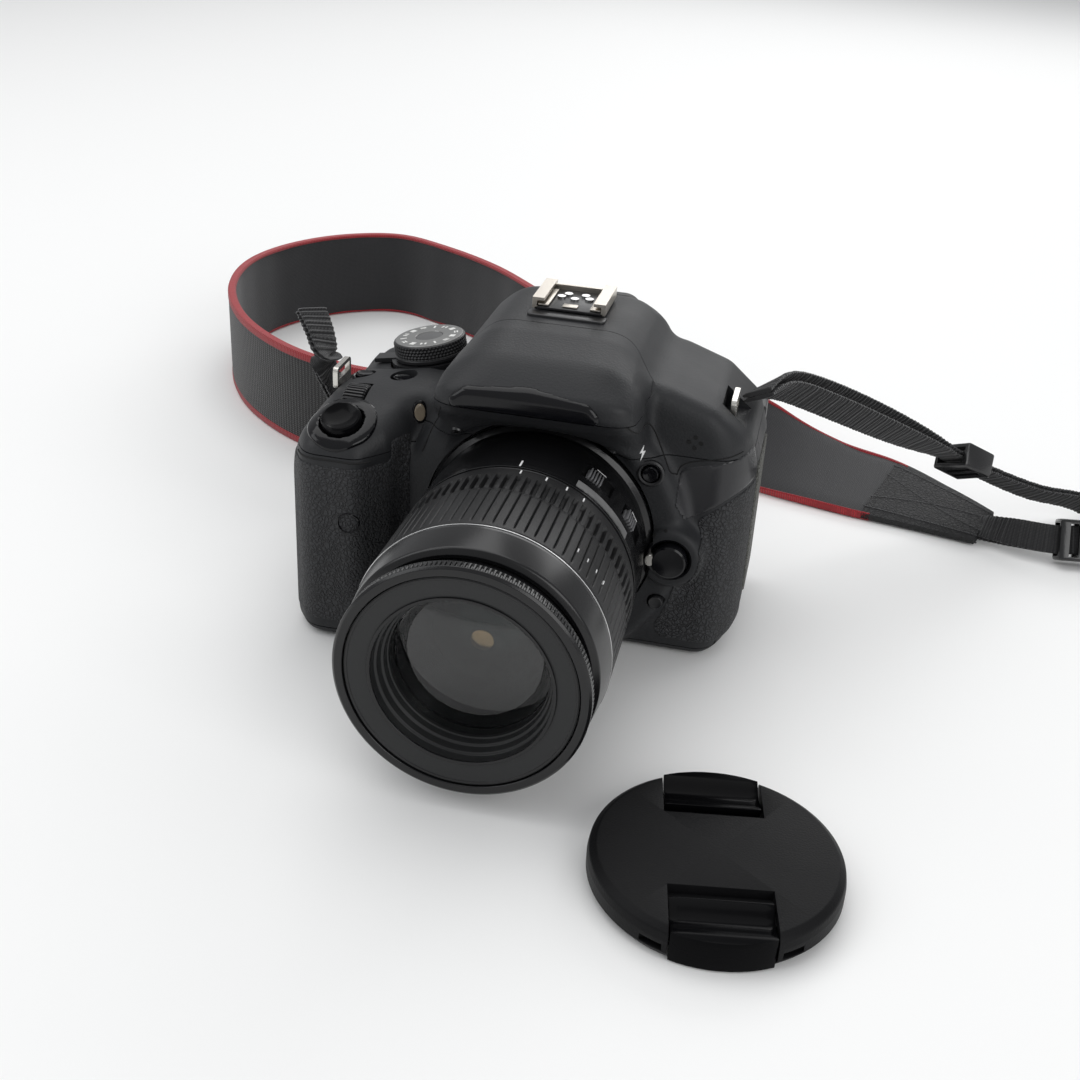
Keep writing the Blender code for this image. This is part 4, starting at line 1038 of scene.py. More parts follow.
def make_rubber(grid, form):
    x, y, z = grid.x, grid.y, grid.z
    grip = smooth_max(np.abs(z - 31.6) - 25.6, y - 19, 1.5)
    grip = smooth_max(grip, x + 39.4, 1.5)
    inner = smooth_max(np.abs(z - 34.5) - 28.5, np.abs(x + 42.0) - 2.6, 1.5)
    inner = smooth_max(inner, np.abs(y - 0.5) - 8, 1.5)
    grip = smooth_min(grip, inner, 2)
    skin = region_skin(grid, form, grip, "grip_rubber_skin")
    dress(skin, "root", "grip_rubber", "leatherette", "grip_rubber")
    side = grid.prism(
        [(34.4, 5.6, 4), (64, 5.6, 0), (64, 57.5, 0), (54.6, 53.6, 4), (46.4, 47.6, 3),
         (43.5, 40, 0), (41.4, 28, 3), (39.6, 19, 6)], "Y", -10, 19, 1)
    pad = np.sqrt((x - 35.5) ** 2 + ((z - 38.0) * 0.92) ** 2) - 12.2
    side = smooth_max(side, -pad, 0.8)
    skin = region_skin(grid, form, side, "side_rubber_skin")
    dress(skin, "root", "grip_rubber", "leatherette", "side_rubber")
    badge = grid.prism(
        [(38.8, 62.4, 4), (64, 68.4, 0), (64, 58.4, 0), (54.3, 54.2, 4), (46.2, 48.4, 1.5),
         (42.3, 46.6, 1.5), (39.0, 52.2, 3)], "Y", -10, 17, 1)
    skin = region_skin(grid, form, badge, "badge_panel", 0.22)
    dress(skin, "root", "gloss_plastic", "black_panel")
    brow = grid.prism(
        [(-25.5, 82.0, 3), (-23, 79.6, 2.5), (17.5, 79.6, 3), (20, 82, 3), (15.4, 86.2, 4),
         (-2, 88.4, 14), (-20, 86.8, 4)], "Y", -30, -8.0, 1)
    layer = smooth_max(form - 0.95, -(form + 0.8), 0.4)
    bar = grid.mesh(smooth_max(layer, brow, 2.2), "brow_panel")
    dress(bar, "flash", "gloss_plastic", "black_gloss")
    tilt = np.array(SHUTTER_AXIS)
    reach = [x - SHUTTER_AT.x, y - SHUTTER_AT.y, z - SHUTTER_AT.z]
    along = sum(part * share for part, share in zip(reach, tilt))
    radial = np.sqrt(np.maximum(sum(part * part for part in reach) - along * along, 0))
    plinth = smooth_max(np.abs(radial - 8.4) - 1.9, np.abs(along) - 9, 0.5)
    skin = region_skin(grid, form, plinth, "shutter_plinth", 0.55)
    dress(skin, "root", "body_plastic", "black_gloss")


class Surface:
    """Finds points of the body's form by dropping lines on it."""

    def __init__(self, obj):
        self.tree = BVHTree.FromObject(obj, bpy.context.evaluated_depsgraph_get())

    def hit(self, point, towards):
        """The first surface point from a point in millimetres, and the normal there, in metres."""
        found, normal, _, _ = self.tree.ray_cast(at(*point), Vector(towards).normalized())
        return found, normal

    def frame(self, point, towards):
        """A frame on the surface: Z is its normal and X is level."""
        found, normal = self.hit(point, towards)
        level = Vector((0, 0, 1)).cross(normal)
        if level.length < 0.2:
            level = Vector((1, 0, 0))
        level = (level - normal * level.dot(normal)).normalized()
        turn = Matrix((level, normal.cross(level), normal)).transposed().to_4x4()
        return Matrix.Translation(found) @ turn


def smooth_route(controls, per_span=6, closed=False):
    """Points along a smooth curve through the controls, as tuples of numbers."""
    rows = [np.array(row, float) for row in controls]
    if closed:
        rows = [rows[-1], *rows, rows[0], rows[1]]
    else:
        rows = [2 * rows[0] - rows[1], *rows, 2 * rows[-1] - rows[-2]]
    found = []
    for a, b, c, d in zip(rows, rows[1:], rows[2:], rows[3:]):
        for step in range(per_span):
            t = step / per_span
            found.append(0.5 * (2 * b + (c - a) * t + (2 * a - 5 * b + 4 * c - d) * t * t
                                + (3 * b - a - 3 * c + d) * t ** 3))
    if not closed:
        found.append(rows[-2])
    return found


def wire(name, points, radius, sides=8, closed=False):
    """A round tube through world points in metres, with flat ends. radius is in millimetres."""
    points = [Vector(point) for point in points]
    count = len(points)
    mesh = bmesh.new()
    rings = []
    for i, point in enumerate(points):
        if closed:
            ahead = points[(i + 1) % count] - points[i - 1]
        else:
            ahead = points[min(i + 1, count - 1)] - points[max(i - 1, 0)]
        ahead.normalize()
        pick = Vector((0, 0, 1)) if abs(ahead.z) < 0.9 else Vector((1, 0, 0))
        side = ahead.cross(pick).normalized()
        up = side.cross(ahead)
        ring = []
        for k in range(sides):
            turn = 2 * math.pi * k / sides
            ring.append(mesh.verts.new(
                point + (side * math.cos(turn) + up * math.sin(turn)) * radius * MM))
        rings.append(ring)
    pairs = list(zip(rings, rings[1:]))
    if closed:
        pairs.append((rings[-1], rings[0]))
    for first, second in pairs:
        for k in range(sides):
            after = (k + 1) % sides
            mesh.faces.new((first[k], first[after], second[after], second[k]))
    if not closed:
        mesh.faces.new(rings[0])
        mesh.faces.new(list(reversed(rings[-1])))
    return from_bmesh(name, mesh)


def seam(surface, name, controls, towards=(0, 1, 0), body="root", radius=0.22, per_span=8,
         material="seam_dark_hole_shade", closed=False):
    """A dark hairline along the surface."""
    points = []
    for row in smooth_route(controls, per_span, closed):
        found, _ = surface.hit(row, towards)
        if found is not None:
            points.append(found)
    return dress(wire(name, points, radius, 6, closed), body, "body_plastic", material)


def dots(surface, name, places, towards, radius, material, slot="body_plastic", body="root"):
    """Small flat discs on the surface."""
    made = []
    for point in places:
        spot = surface.frame(point, towards)
        mesh = bmesh.new()
        bmesh.ops.create_cone(mesh, cap_ends=True, segments=20, radius1=radius * MM,
                              radius2=radius * MM, depth=0.4 * MM)
        bmesh.ops.transform(mesh, matrix=spot, verts=mesh.verts)
        made.append(from_bmesh("dot", mesh))
    return dress(merge(name, made), body, slot, material)


def make_front_details(surface):
    front = (0, 1, 0)
    seam(surface, "seam_right_panel", [
        (25.4, -30, 80.2), (28.2, -30, 76.6), (31.0, -30, 72.4), (34.2, -30, 66.0),
        (36.6, -30, 61.4), (38.6, -30, 60.4)], front)
    seam(surface, "seam_badge", [
        (38.4, -30, 60.2), (39.4, -30, 62.8), (42.4, -30, 64.6), (50, -30, 66.4),
        (55.8, -30, 67.6)], front, radius=0.2)
    seam(surface, "seam_left_panel", [
        (-26.4, -30, 78.6), (-29.2, -30, 72.6), (-32.6, -30, 66.0), (-35.4, -30, 58.0)], front)
    seam(surface, "seam_grip_crease", [
        (-69.2, -60, 58.4), (-62, -60, 58.8), (-54, -60, 58.9), (-47, -60, 58.6)], front,
        radius=0.3)
    # The microphone and speaker holes are flat near-black discs: painted shade standing in for the
    # dark inside of each hole.
    dots(surface, "microphone_holes",
         [(42.5, -30, 72.1), (42.5, -30, 68.9), (40.8, -30, 70.5), (44.2, -30, 70.5)], front, 0.62,
         "seam_dark_hole_shade")
    dots(surface, "speaker_holes", [(34.6, -4, 110), (37.6, -3.5, 110)], (0, 0, -1), 0.5,
         "seam_dark_hole_shade")
    for i, (px, pz) in enumerate(((-23.6, 68.8), (20.6, 69.2))):
        spot = surface.frame((px, -30, pz), front)
        screw_head(f"front_screw_{i + 1}", spot, 1.75)
    lamp = surface.frame((-37.6, -30, 68.4), front)
    oval_dome("lamp_bezel", lamp, 2.3, 3.5, 0.35, "black_gloss", "gloss_plastic")
    oval_dome("self_timer_lamp", lamp, 1.65, 2.7, 0.8, "lamp_lens", "lens_glass")
    ring = [surface.hit((-52.4 + 3.0 * math.cos(a), -60, 40.0 + 3.0 * math.sin(a)), front)[0]
            for a in np.linspace(0, 2 * math.pi, 28, endpoint=False)]
    ring = [point + Vector((0, -0.3 * MM, 0)) for point in ring if point is not None]
    dress(wire("receiver_ring", ring, 0.3, 6, True), "root", "gloss_plastic", "black_gloss")
    bolt = surface.frame((28.6, -30, 67.6), front)
    outline = [(0.5, 2.4), (-0.9, 0.1), (0.0, 0.1), (-0.45, -2.4), (1.1, 0.55), (0.2, 0.55)]
    dress(flat_mark("flash_mark", bolt, outline), "root", "dial_print", "white_print")


def flat_mark(name, spot, outline, thick=0.1):
    """A thin printed shape in a frame, from points in millimetres."""
    mesh = bmesh.new()
    rings = [[mesh.verts.new(spot @ (Vector((u, v, h)) * MM)) for u, v in outline]
             for h in (-0.1, thick)]
    count = len(outline)
    for i in range(count):
        after = (i + 1) % count
        mesh.faces.new((rings[0][i], rings[0][after], rings[1][after], rings[1][i]))
    for ring in rings:
        mesh.faces.new(ring)
    return from_bmesh(name, mesh)


def oval_dome(name, spot, wide, high, lift, material, slot, body="root", dish=0.0, base=0.5,
              replaced=()):
    """A rounded oval cap. dish presses its middle in, for a finger."""
    rows = [(1.0, -base), (1.0, 0.0), (0.985, lift * 0.45), (0.93, lift * 0.85), (0.84, lift),
            (0.6, lift - dish * 0.55), (0.3, lift - dish * 0.9)]
    steps = 48
    mesh = bmesh.new()
    rings = []
    for share, height in rows:
        rings.append([mesh.verts.new(spot @ (Vector((
            wide * share * math.cos(a), high * share * math.sin(a), height)) * MM))
            for a in np.linspace(0, 2 * math.pi, steps, endpoint=False)])
    for first, second in zip(rings, rings[1:]):
        for k in range(steps):
            after = (k + 1) % steps
            mesh.faces.new((first[k], first[after], second[after], second[k]))
    mesh.faces.new(rings[0])
    tip = mesh.verts.new(spot @ Vector((0, 0, (lift - dish) * MM)))
    for k in range(steps):
        mesh.faces.new((rings[-1][k], rings[-1][(k + 1) % steps], tip))
    return dress(from_bmesh(name, mesh), body, slot, material, *replaced)


def screw_head(name, spot, radius, body="root"):
    """A sunk cross-head screw."""
    mesh = bmesh.new()
    bmesh.ops.create_cone(mesh, cap_ends=True, segments=32, radius1=radius * MM,
                          radius2=radius * 0.86 * MM, depth=0.7 * MM)
    bmesh.ops.transform(mesh, matrix=spot @ Matrix.Translation((0, 0, 0.05 * MM)),
                        verts=mesh.verts)
    head = from_bmesh(name, mesh)
    arms = []
    for turn in (0.4, 0.4 + math.pi / 2):
        mesh = bmesh.new()
        bmesh.ops.create_cube(mesh, size=1)
        bmesh.ops.scale(mesh, vec=Vector((radius * 1.25, 0.42, 1.0)) * MM, verts=mesh.verts)
        bmesh.ops.transform(
            mesh,
            matrix=spot @ Matrix.Rotation(turn, 4, "Z") @ Matrix.Translation((0, 0, 0.5 * MM)),
            verts=mesh.verts)
        arms.append(from_bmesh("arm", mesh))
    boolean(head, arms)
    return dress(head, body, "dark_metal", "screw_black")


# ---------------------------------------------------------------- controls


def axis_frame(centre, axis):
    """A frame with Z along an axis at a point given in millimetres."""
    turn = Vector((0, 0, 1)).rotation_difference(Vector(axis)).to_matrix().to_4x4()
    return Matrix.Translation(at(*centre)) @ turn


def knob_button(name, centre, axis, radius, top, material, body, dish=0.0, stretch=1.0):
    """A round or oval button whose crown stands top above its centre point."""
    spot = axis_frame(centre, axis)
    return oval_dome(name + "_cap", spot, radius, radius * stretch, top, material,
                     "gloss_plastic", body, dish, 1.2, (name,))


def rim_ring(name, centre, axis, inner, outer, height, material="black_gloss", body="root"):
    ring = Axle(centre, axis, (0, 0, 1) if abs(Vector(axis).z) < 0.9 else (0, 1, 0))
    piece = turned(name, ring, [
        (inner, -0.8, 0), (inner, height * 0.6, 0.1), ((inner + outer) / 2, height, 0.3),
        (outer, height * 0.4, 0.15), (outer, -0.8, 0)], 72)
    return dress(piece, body, "gloss_plastic", material)


def dial_relief(radius, height, angle):
    """Rows of small knobs round the mode dial, each row half a step round from the last."""
    row = np.floor((height + 4.3) / 0.95)
    along = (height + 4.3) / 0.95 - row - 0.5
    phase = (angle * 60 / (2 * math.pi) + 0.5 * (row % 2)) % 1.0 - 0.5
    knob = np.clip(1.3 - np.sqrt((phase * 2.4) ** 2 + (along * 2.2) ** 2), 0, 1)
    zone = (height > -4.35) & (height < -0.55) & (radius > 10.7)
    return np.where(zone, knob * 0.42 - 0.42, 0)


def wheel_relief(radius, height, angle):
    phase = (angle * 40 / (2 * math.pi)) % 1.0
    return -np.where(radius > 6.6, np.clip((0.24 - np.abs(phase - 0.5)) / 0.08, 0, 1) * 0.55, 0)


def make_dials():
    dial = turned("mode_dial_knurled", DIAL, [
        (0, -0.25, 0), (10.5, -0.25, 0), (10.9, -0.5, 0.2), (11.15, -0.7, 0), (11.15, -4.4, 0),
        (10.9, -4.5, 0), (11.15, -4.8, 0.1), (11.15, -5.75, 0.1), (0, -5.75, 0)], 480,
        dial_relief, 0.24)
    dress(dial, "dial_mode", "gloss_plastic", "black_satin", "mode_dial")
    face = turned("mode_dial_face", DIAL, [
        (0, -0.28, 0), (4.2, -0.28, 0.1), (4.35, -0.02, 0.1), (10.3, -0.02, 0.15),
        (10.55, -0.3, 0.1), (0, -0.34, 0)], 144)
    dress(face, "dial_mode", "dial_print", "dial_silver")
    middle = turned("mode_dial_middle", DIAL, [
        (0, -0.2, 0), (4.05, -0.2, 0.1), (4.05, -0.33, 0), (0, -0.33, 0)], 96)
    dress(middle, "dial_mode", "dial_print", "dial_centre")
    marks = []
    for step in range(14):
        spot = DIAL.matrix(math.radians(step * 360 / 14 + 9), 7.9, 0.0)
        if step % 4 == 0:
            marks.append(block(spot, (-0.85, -0.9, -0.1), (0.85, 0.9, 0.06), edge=0.0))
        elif step % 4 == 1:
            marks.append(block(spot, (-0.9, -0.25, -0.1), (0.9, 0.2, 0.06)))
            marks.append(block(spot, (-0.9, 0.55, -0.1), (0.9, 1.0, 0.06)))
        elif step % 4 == 2:
            marks.append(block(spot, (-0.3, -1.0, -0.1), (0.3, 1.0, 0.06)))
        else:
            marks.append(block(spot, (-1.0, -0.7, -0.1), (-0.4, 0.7, 0.06)))
            marks.append(block(spot, (0.3, -0.7, -0.1), (0.9, 0.7, 0.06)))
    dress(merge("mode_dial_marks", marks), "dial_mode", "dial_print", "dial_ink")
    index = DIAL.matrix(math.radians(-78), 12.4, -4.9)
    dress(block(index, (-0.3, -0.5, -0.3), (0.3, 0.75, 0.5), "mode_index_mark"), "root",
          "dial_print", "white_print")
    wheel_axle = Axle(WHEEL_AT, (1, 0, 0))
    wheel = turned("main_dial_ribbed", wheel_axle, [
        (0, 3.25, 0), (6.7, 3.25, 0.4), (7.2, 2.7, 0.3), (7.2, -2.7, 0.3), (6.7, -3.25, 0.4),
        (0, -3.25, 0)], 400, wheel_relief, 0.9)
    dress(wheel, "dial_main", "gloss_plastic", "black_satin", "main_dial")


def make_controls():
    tilt = SHUTTER_AXIS
    knob_button("shutter_button", SHUTTER_AT + tilt * 1.4, tilt, 6.05, 1.9, "release_black",
                "shutter_release", 1.3)
    up = (0, 0, 1)
    knob_button("iso_button", (-60, 19.5, 70.4), up, 2.75, 1.1, "black_gloss", "iso_key", 0.2, 0.75)
    knob_button("display_button", (-46.5, 15.5, 72.0), up, 3.4, 1.3, "black_gloss", "display_key",
                0.2, 0.7)
    rim_ring("iso_rim", (-60, 19.5, 70.1), up, 3.0, 3.9, 0.45)
    rim_ring("display_rim", (-46.5, 15.5, 72.0), up, 3.8, 4.8, 0.45)
    front = (0, -1, 0)
    knob_button("lens_release_button", (39.5, -4.2, 36.5), front, 5.35, 2.3, "black_gloss",
                "lens_release", 0.3)
    rim_ring("lens_release_rim", (39.5, -3.6, 36.5), front, 5.8, 7.2, 0.7)
    knob_button("preview_button", (36.5, -0.9, 20.5), front, 2.2, 1.5, "black_satin",
                "preview_key", 0.3)
    knob_button("flash_button", (31.5, -0.9, 61.5), front, 2.45, 1.7, "black_gloss", "flash_key",
                0.3)
    rim_ring("flash_button_rim", (31.5, -1.6, 61.5), front, 2.8, 4.0, 0.6, "black_satin")
    pin = axis_frame((34.0, -4.6, 36.4), front)
    oval_dome("release_pin", pin, 1.5, 2.0, 1.7, "bright_metal", "bright_metal", "root")
    back = (0, 1, 0)
    for name, body, point in (
            ("menu_button", "menu_key", (46, 51.6, 72)),
            ("info_button", "info_key", (36, 51.6, 73)),
            ("playback_button", "playback_key", (-38, 51.6, 15)),
            ("erase_button", "erase_key", (-51, 51.6, 15))):
        knob_button(name, point, back, 2.6, 1.5, "black_satin", body, 0.15)
    knob_button("set_button", (-46, 51.6, 36), back, 3.5, 1.5, "black_satin", "set_key", 0.35)
    keys = Axle((-46, 51.6, 36), back)
    pad = turned("cross_keys_pad", keys, [
        (3.9, 1.1, 0.2), (5.4, 0.9, 0.4), (8.8, 1.6, 0.5), (9.6, 0.9, 0.3), (9.6, -1.4, 0),
        (3.9, -1.4, 0)], 96)
    dress(pad, "cross_key_pad", "gloss_plastic", "black_satin", "cross_keys")
    arrows = []
    for degrees in (0, 90, 180, 270):
        spot = keys.matrix(math.radians(degrees), 7.4, 1.45)
        arrows.append(flat_mark("arrow", spot, [(-0.9, -0.5), (0.9, -0.5), (0, 0.7)], 0.22))
    dress(merge("cross_key_arrows", arrows), "cross_key_pad", "dial_print", "white_print")


def make_hot_shoe():
    low, high = (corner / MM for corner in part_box("hot_shoe"))
    y0, y1 = low.y - FLANGE_Y, high.y - FLANGE_Y
    floor = [box((low.x + 0.6, y0, low.z), (high.x - 0.6, y1, 96.8))]
    dress(rounded_edges(merge("hot_shoe_floor", floor), 0.2, 2), "root", "gloss_plastic",
          "black_satin")
    rails = []
    for sign in (-1, 1):
        outer, inner, lip = sign * high.x, sign * (high.x - 1.3), sign * 7.3
        a, b = sorted((outer, inner))
        rails.append(box((a, y0, 96.2), (b, y1, high.z)))
        a, b = sorted((outer, lip))
        rails.append(box((a, y0, high.z - 0.9), (b, y1, high.z)))
    rails.append(box((-high.x, y1 - 0.9, 96.2), (high.x, y1, high.z - 1.2)))
    dress(rounded_edges(joined(rails, "hot_shoe_rails"), 0.25, 2), "root", "bright_metal",
          "shoe_metal", "hot_shoe")
    springs = []
    for sign in (-1, 1):
        a, b = sorted((sign * 9.2, sign * 6.1))
        springs.append(box((a, y0 + 0.6, 97.0), (b, y1 - 3, 97.5)))
    springs.append(box((-2.2, y0 + 1.2, 96.9), (2.2, y0 + 4.0, 97.3)))
    dress(rounded_edges(merge("hot_shoe_springs", springs), 0.12, 2), "root", "bright_metal",
          "shoe_metal")
    half, near, far = 11.5, y0 - 4.6, y0 - 0.1
    step = plate([(-half, near, 1.6), (half, near, 1.6), (half, far, 0), (-half, far, 0)], "Z",
                 94.2, 95.9, "hot_shoe_step")
    dress(rounded_edges(step, 0.3, 2), "root", "gloss_plastic", "black_satin")
    contacts = [cylinder((cx, y0 + cy, 97.0), (0, 0, 1), 1.25, 0.8, 32)
                for cx, cy in ((0, 9.0), (-4.2, 10.2), (4.2, 10.2), (-2.6, 13.0), (2.6, 13.0))]
    dress(merge("hot_shoe_contacts", contacts), "root", "bright_metal", "silver_line")


def make_back():
    use("screen_panel", "back_panel")
    use("screen_glass", "screen_black")
    use("screen_hinge", "dark_metal")
    use("eyepiece", "eye_glass")
    use("flash_window", "flash_lens")
    use("pentaprism", "eye_glass")
    use("terminal_sockets", "dark_metal")
    use("mount_ring", "dark_metal")
    use("tripod_socket", "bright_metal")
    use("reflex_mirror", "mirror")
    for name in ("strap_lug_left", "strap_lug_right"):
        use(name, "bright_metal")
    for name in ("battery_door", "card_door"):
        use(name, "charcoal")
    use("terminal_cover", "side_olive")
    use("power_lever", "black_satin")
    for name in ("mirror_box", "battery"):
        use(name, "black_satin")
    use("shutter_unit", "dark_metal")
    use("sensor_board", "board_green")
    cup_low, cup_high = (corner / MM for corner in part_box("eyecup"))
    y0, y1 = cup_low.y - FLANGE_Y, cup_high.y - FLANGE_Y
    cup = plate([(-17, 73.5, 6), (17, 73.5, 6), (17, 92.5, 6), (-17, 92.5, 6)], "Y", y0, y1,
                "eyecup_rubber", 12)
    cup = rounded_edges(cup, 1.6, 5)
    hole = plate([(-10.5, 75.6, 3), (10.5, 75.6, 3), (10.5, 88.4, 3), (-10.5, 88.4, 3)],
                 "Y", y0 - 5, y1 + 5)
    flare = plate([(-12.5, 74.8, 4), (12.5, 74.8, 4), (12.5, 90.0, 4), (-12.5, 90.0, 4)],
                  "Y", y1 - 1.8, y1 + 5)
    boolean(cup, [hole, flare])
    dress(rounded_edges(cup, 0.4, 2), "root", "grip_rubber", "ring_rubber", "eyecup")


def use(node, material):
    """Gives a CAD node a material of this script's."""
    obj = NODES[node]
    obj.data.materials.clear()
    obj.data.materials.append(MATERIALS[material])


# ---------------------------------------------------------------- lens cap


CAP_AT = (66.6, -92.4, 0.0)
CAP_R = 31.0
CAP_HIGH = 9.0
CAP_TURN = math.radians(10.0)
CAP_AXLE = Axle(CAP_AT, (0, 0, 1), (-math.sin(CAP_TURN), math.cos(CAP_TURN), 0))


def cap_frame():
    return Matrix.Translation(at(*CAP_AT)) @ Matrix.Rotation(CAP_TURN, 4, "Z")


def cap_piece(sign, near, far, half, low, high, edge=0.0):
    a, b = sorted((sign * near, sign * far))
    return block(cap_frame(), (-half, a, low), (half, b, high), edge=edge)


def make_cap():
    cover = turned("lens_cap_cover", CAP_AXLE, [
        (0, CAP_HIGH, 0), (CAP_R - 2.0, CAP_HIGH, 1.0), (CAP_R - 0.35, 7.7, 1.3), (CAP_R, 5.6, 0.6),
        (CAP_R, 2.2, 0.5), (30.3, 1.2, 0.4), (29.4, 0.05, 0.2), (27.6, 0.05, 0.2), (27.6, 5.2, 0.5),
        (0, 5.2, 0)], 220)
    cuts = []
    for sign in (1, -1):
        cuts.append(cap_piece(sign, 13.0, 40.0, 12.4, 6.2, 20))
        cuts.append(cap_piece(sign, 21.4, 40.0, 12.4, -15, 20))
        for side in (-1, 1):
            a, b = sorted((side * 13.6, side * 18.6))
            lo, hi = sorted((sign * 24.0, sign * 40.0))
            cuts.append(block(cap_frame(), (a, lo, 2.6), (b, hi, 4.4)))
    boolean(cover, cuts)
    dress(rounded_edges(cover, 0.35, 2, 50), "cap", "body_plastic", "cap_black", "lens_cap")
    for name, sign, body in (("cap_latch_rear", 1, "cap_pinch_rear"),
                             ("cap_latch_front", -1, "cap_pinch_front")):
        rows = []
        for step in range(26):
            share = step / 25
            reach = 16.6 + (30.55 - 16.6) * share
            dip = 8.5 - 1.55 * math.sin(math.pi * min(1, share * 1.18)) ** 2
            rows.append((reach, dip))
        outline = rows + [(30.55, 7.0), (30.55, 0.3), (24.2, 0.3), (24.2, 6.6), (16.6, 6.6)]
        mesh = bmesh.new()
        rings = []
        spot = cap_frame()
        for across in np.linspace(-12, 12, 13):
            ring = []
            for v, w in outline:
                limit = math.sqrt(30.6 ** 2 - across ** 2)
                ring.append(mesh.verts.new(
                    spot @ (Vector((across, sign * min(v, limit), w)) * MM)))
            rings.append(ring)
        count = len(outline)
        for first, second in zip(rings, rings[1:]):
            for k in range(count):
                after = (k + 1) % count
                mesh.faces.new((first[k], first[after], second[after], second[k]))
        mesh.faces.new(rings[0])
        mesh.faces.new(list(reversed(rings[-1])))
        latch = from_bmesh(name + "_spoon", mesh)
        dress(rounded_edges(latch, 0.3, 2, 50), body, "gloss_plastic", "cap_gloss", name)


# ---------------------------------------------------------------- neck strap


PAD_ROUTE = [
    (139, 113, 0, 70, 16), (121, 122, 0, 75, 26), (101, 131, 0, 77, 36), (80, 137, 0, 74, 38),
    (57, 141, 0, 56, 38), (28, 148, 0, 24, 38), (-6, 172, 0, 4, 38), (-40, 204, 0, 0, 38),
    (-75, 240, 0, 0, 38), (-108, 262, 0, 0, 38), (-132, 270, 0, 0, 38), (-156, 258, 0, 0, 38),
    (-173, 234, 0, 0, 38), (-179, 205, 0, 0, 38), (-172, 172, 0, 0, 38), (-153, 140, 0, 0, 38),
    (-126, 116, 0, 0, 38), (-98, 104, 0, 0, 38), (-66, 100, 0, 0, 38), (-44, 99, 0, 0, 34),
    (-22, 98, 0, 0, 24), (-4, 97, 0, 0, 16),
]
RIGHT_ROUTE = [
    (57, 27, 77.6, 62, 10), (60.5, 36, 77.2, 62, 10), (65, 47, 74.0, 64, 10),
    (73, 60, 67.5, 66, 10), (86, 75, 58.0, 66, 10), (102, 90, 47.0, 64, 10),
    (118, 103, 36.5, 62, 10), (136, 114, 25.5, 58, 10), (155, 126, 15.5, 50, 10),
    (174, 138, 8.5, 40, 10), (192, 141, 0, 20, 10), (200, 128, 0, 10, 10),
    (193, 114, 0, 14, 10), (178, 107, 8.3, 24, 10), (162, 104.5, 8.3, 30, 10),
    (150, 107, 7.4, 36, 10), (144, 110.2, 6.0, 50, 10), (136.5, 113.6, 4.6, 66, 10),
]
LEFT_ROUTE = [
    (-83, 35.5, 83.0, 30, 10), (-78, 30, 77.5, 30, 10), (-75.2, 27, 70.5, 20, 10),
    (-78, 36, 62, 10, 10), (-80, 54, 46, 0, 10), (-72, 72, 28, 0, 10), (-50, 80, 13, 0, 10),
    (-24, 83, 7.5, 0, 10), (0, 84, 0, 0, 10), (14, 88, 0, 0, 10), (13, 95, 0, 0, 10),
    (1, 97, 8, 0, 10), (-8, 97.3, 8, 0, 10),
]
PAD_THICK = 3.6
WEB_THICK = 2.8


def strap_rows(controls, thickness, spacing, twist=None):
    """Frames along a strap at even steps: centre, across, through, width and run, in millimetres.

    twist(run) is added to the lean, in degrees.
    """
    fine = smooth_route(controls, 24)
    spots = np.array([row[:3] for row in fine])
    runs = np.concatenate([[0], np.cumsum(np.linalg.norm(np.diff(spots, axis=0), axis=1))])
    count = max(8, int(runs[-1] / spacing))
    marks = np.linspace(0, runs[-1], count + 1)
    table = np.array(fine)
    even = np.stack([np.interp(marks, runs, table[:, k]) for k in range(5)], axis=1)
    rows = []
    for i, row in enumerate(even):
        ahead = Vector(even[min(i + 1, count)][:3]) - Vector(even[max(i - 1, 0)][:3])
        ahead.normalize()
        side = ahead.cross(Vector((0, 0, 1))).normalized()
        upright = side.cross(ahead).normalized()
        lean = math.radians(row[3] + (0 if twist is None else twist(marks[i])))
        rest = (row[4] * abs(math.cos(lean)) + thickness * abs(math.sin(lean))) / 2 + 0.12
        centre = Vector((row[0], row[1], max(row[2], rest)))
        across = upright * math.cos(lean) + side * math.sin(lean)
        rows.append((centre, across, ahead.cross(across).normalized(), row[4], marks[i]))
    return rows


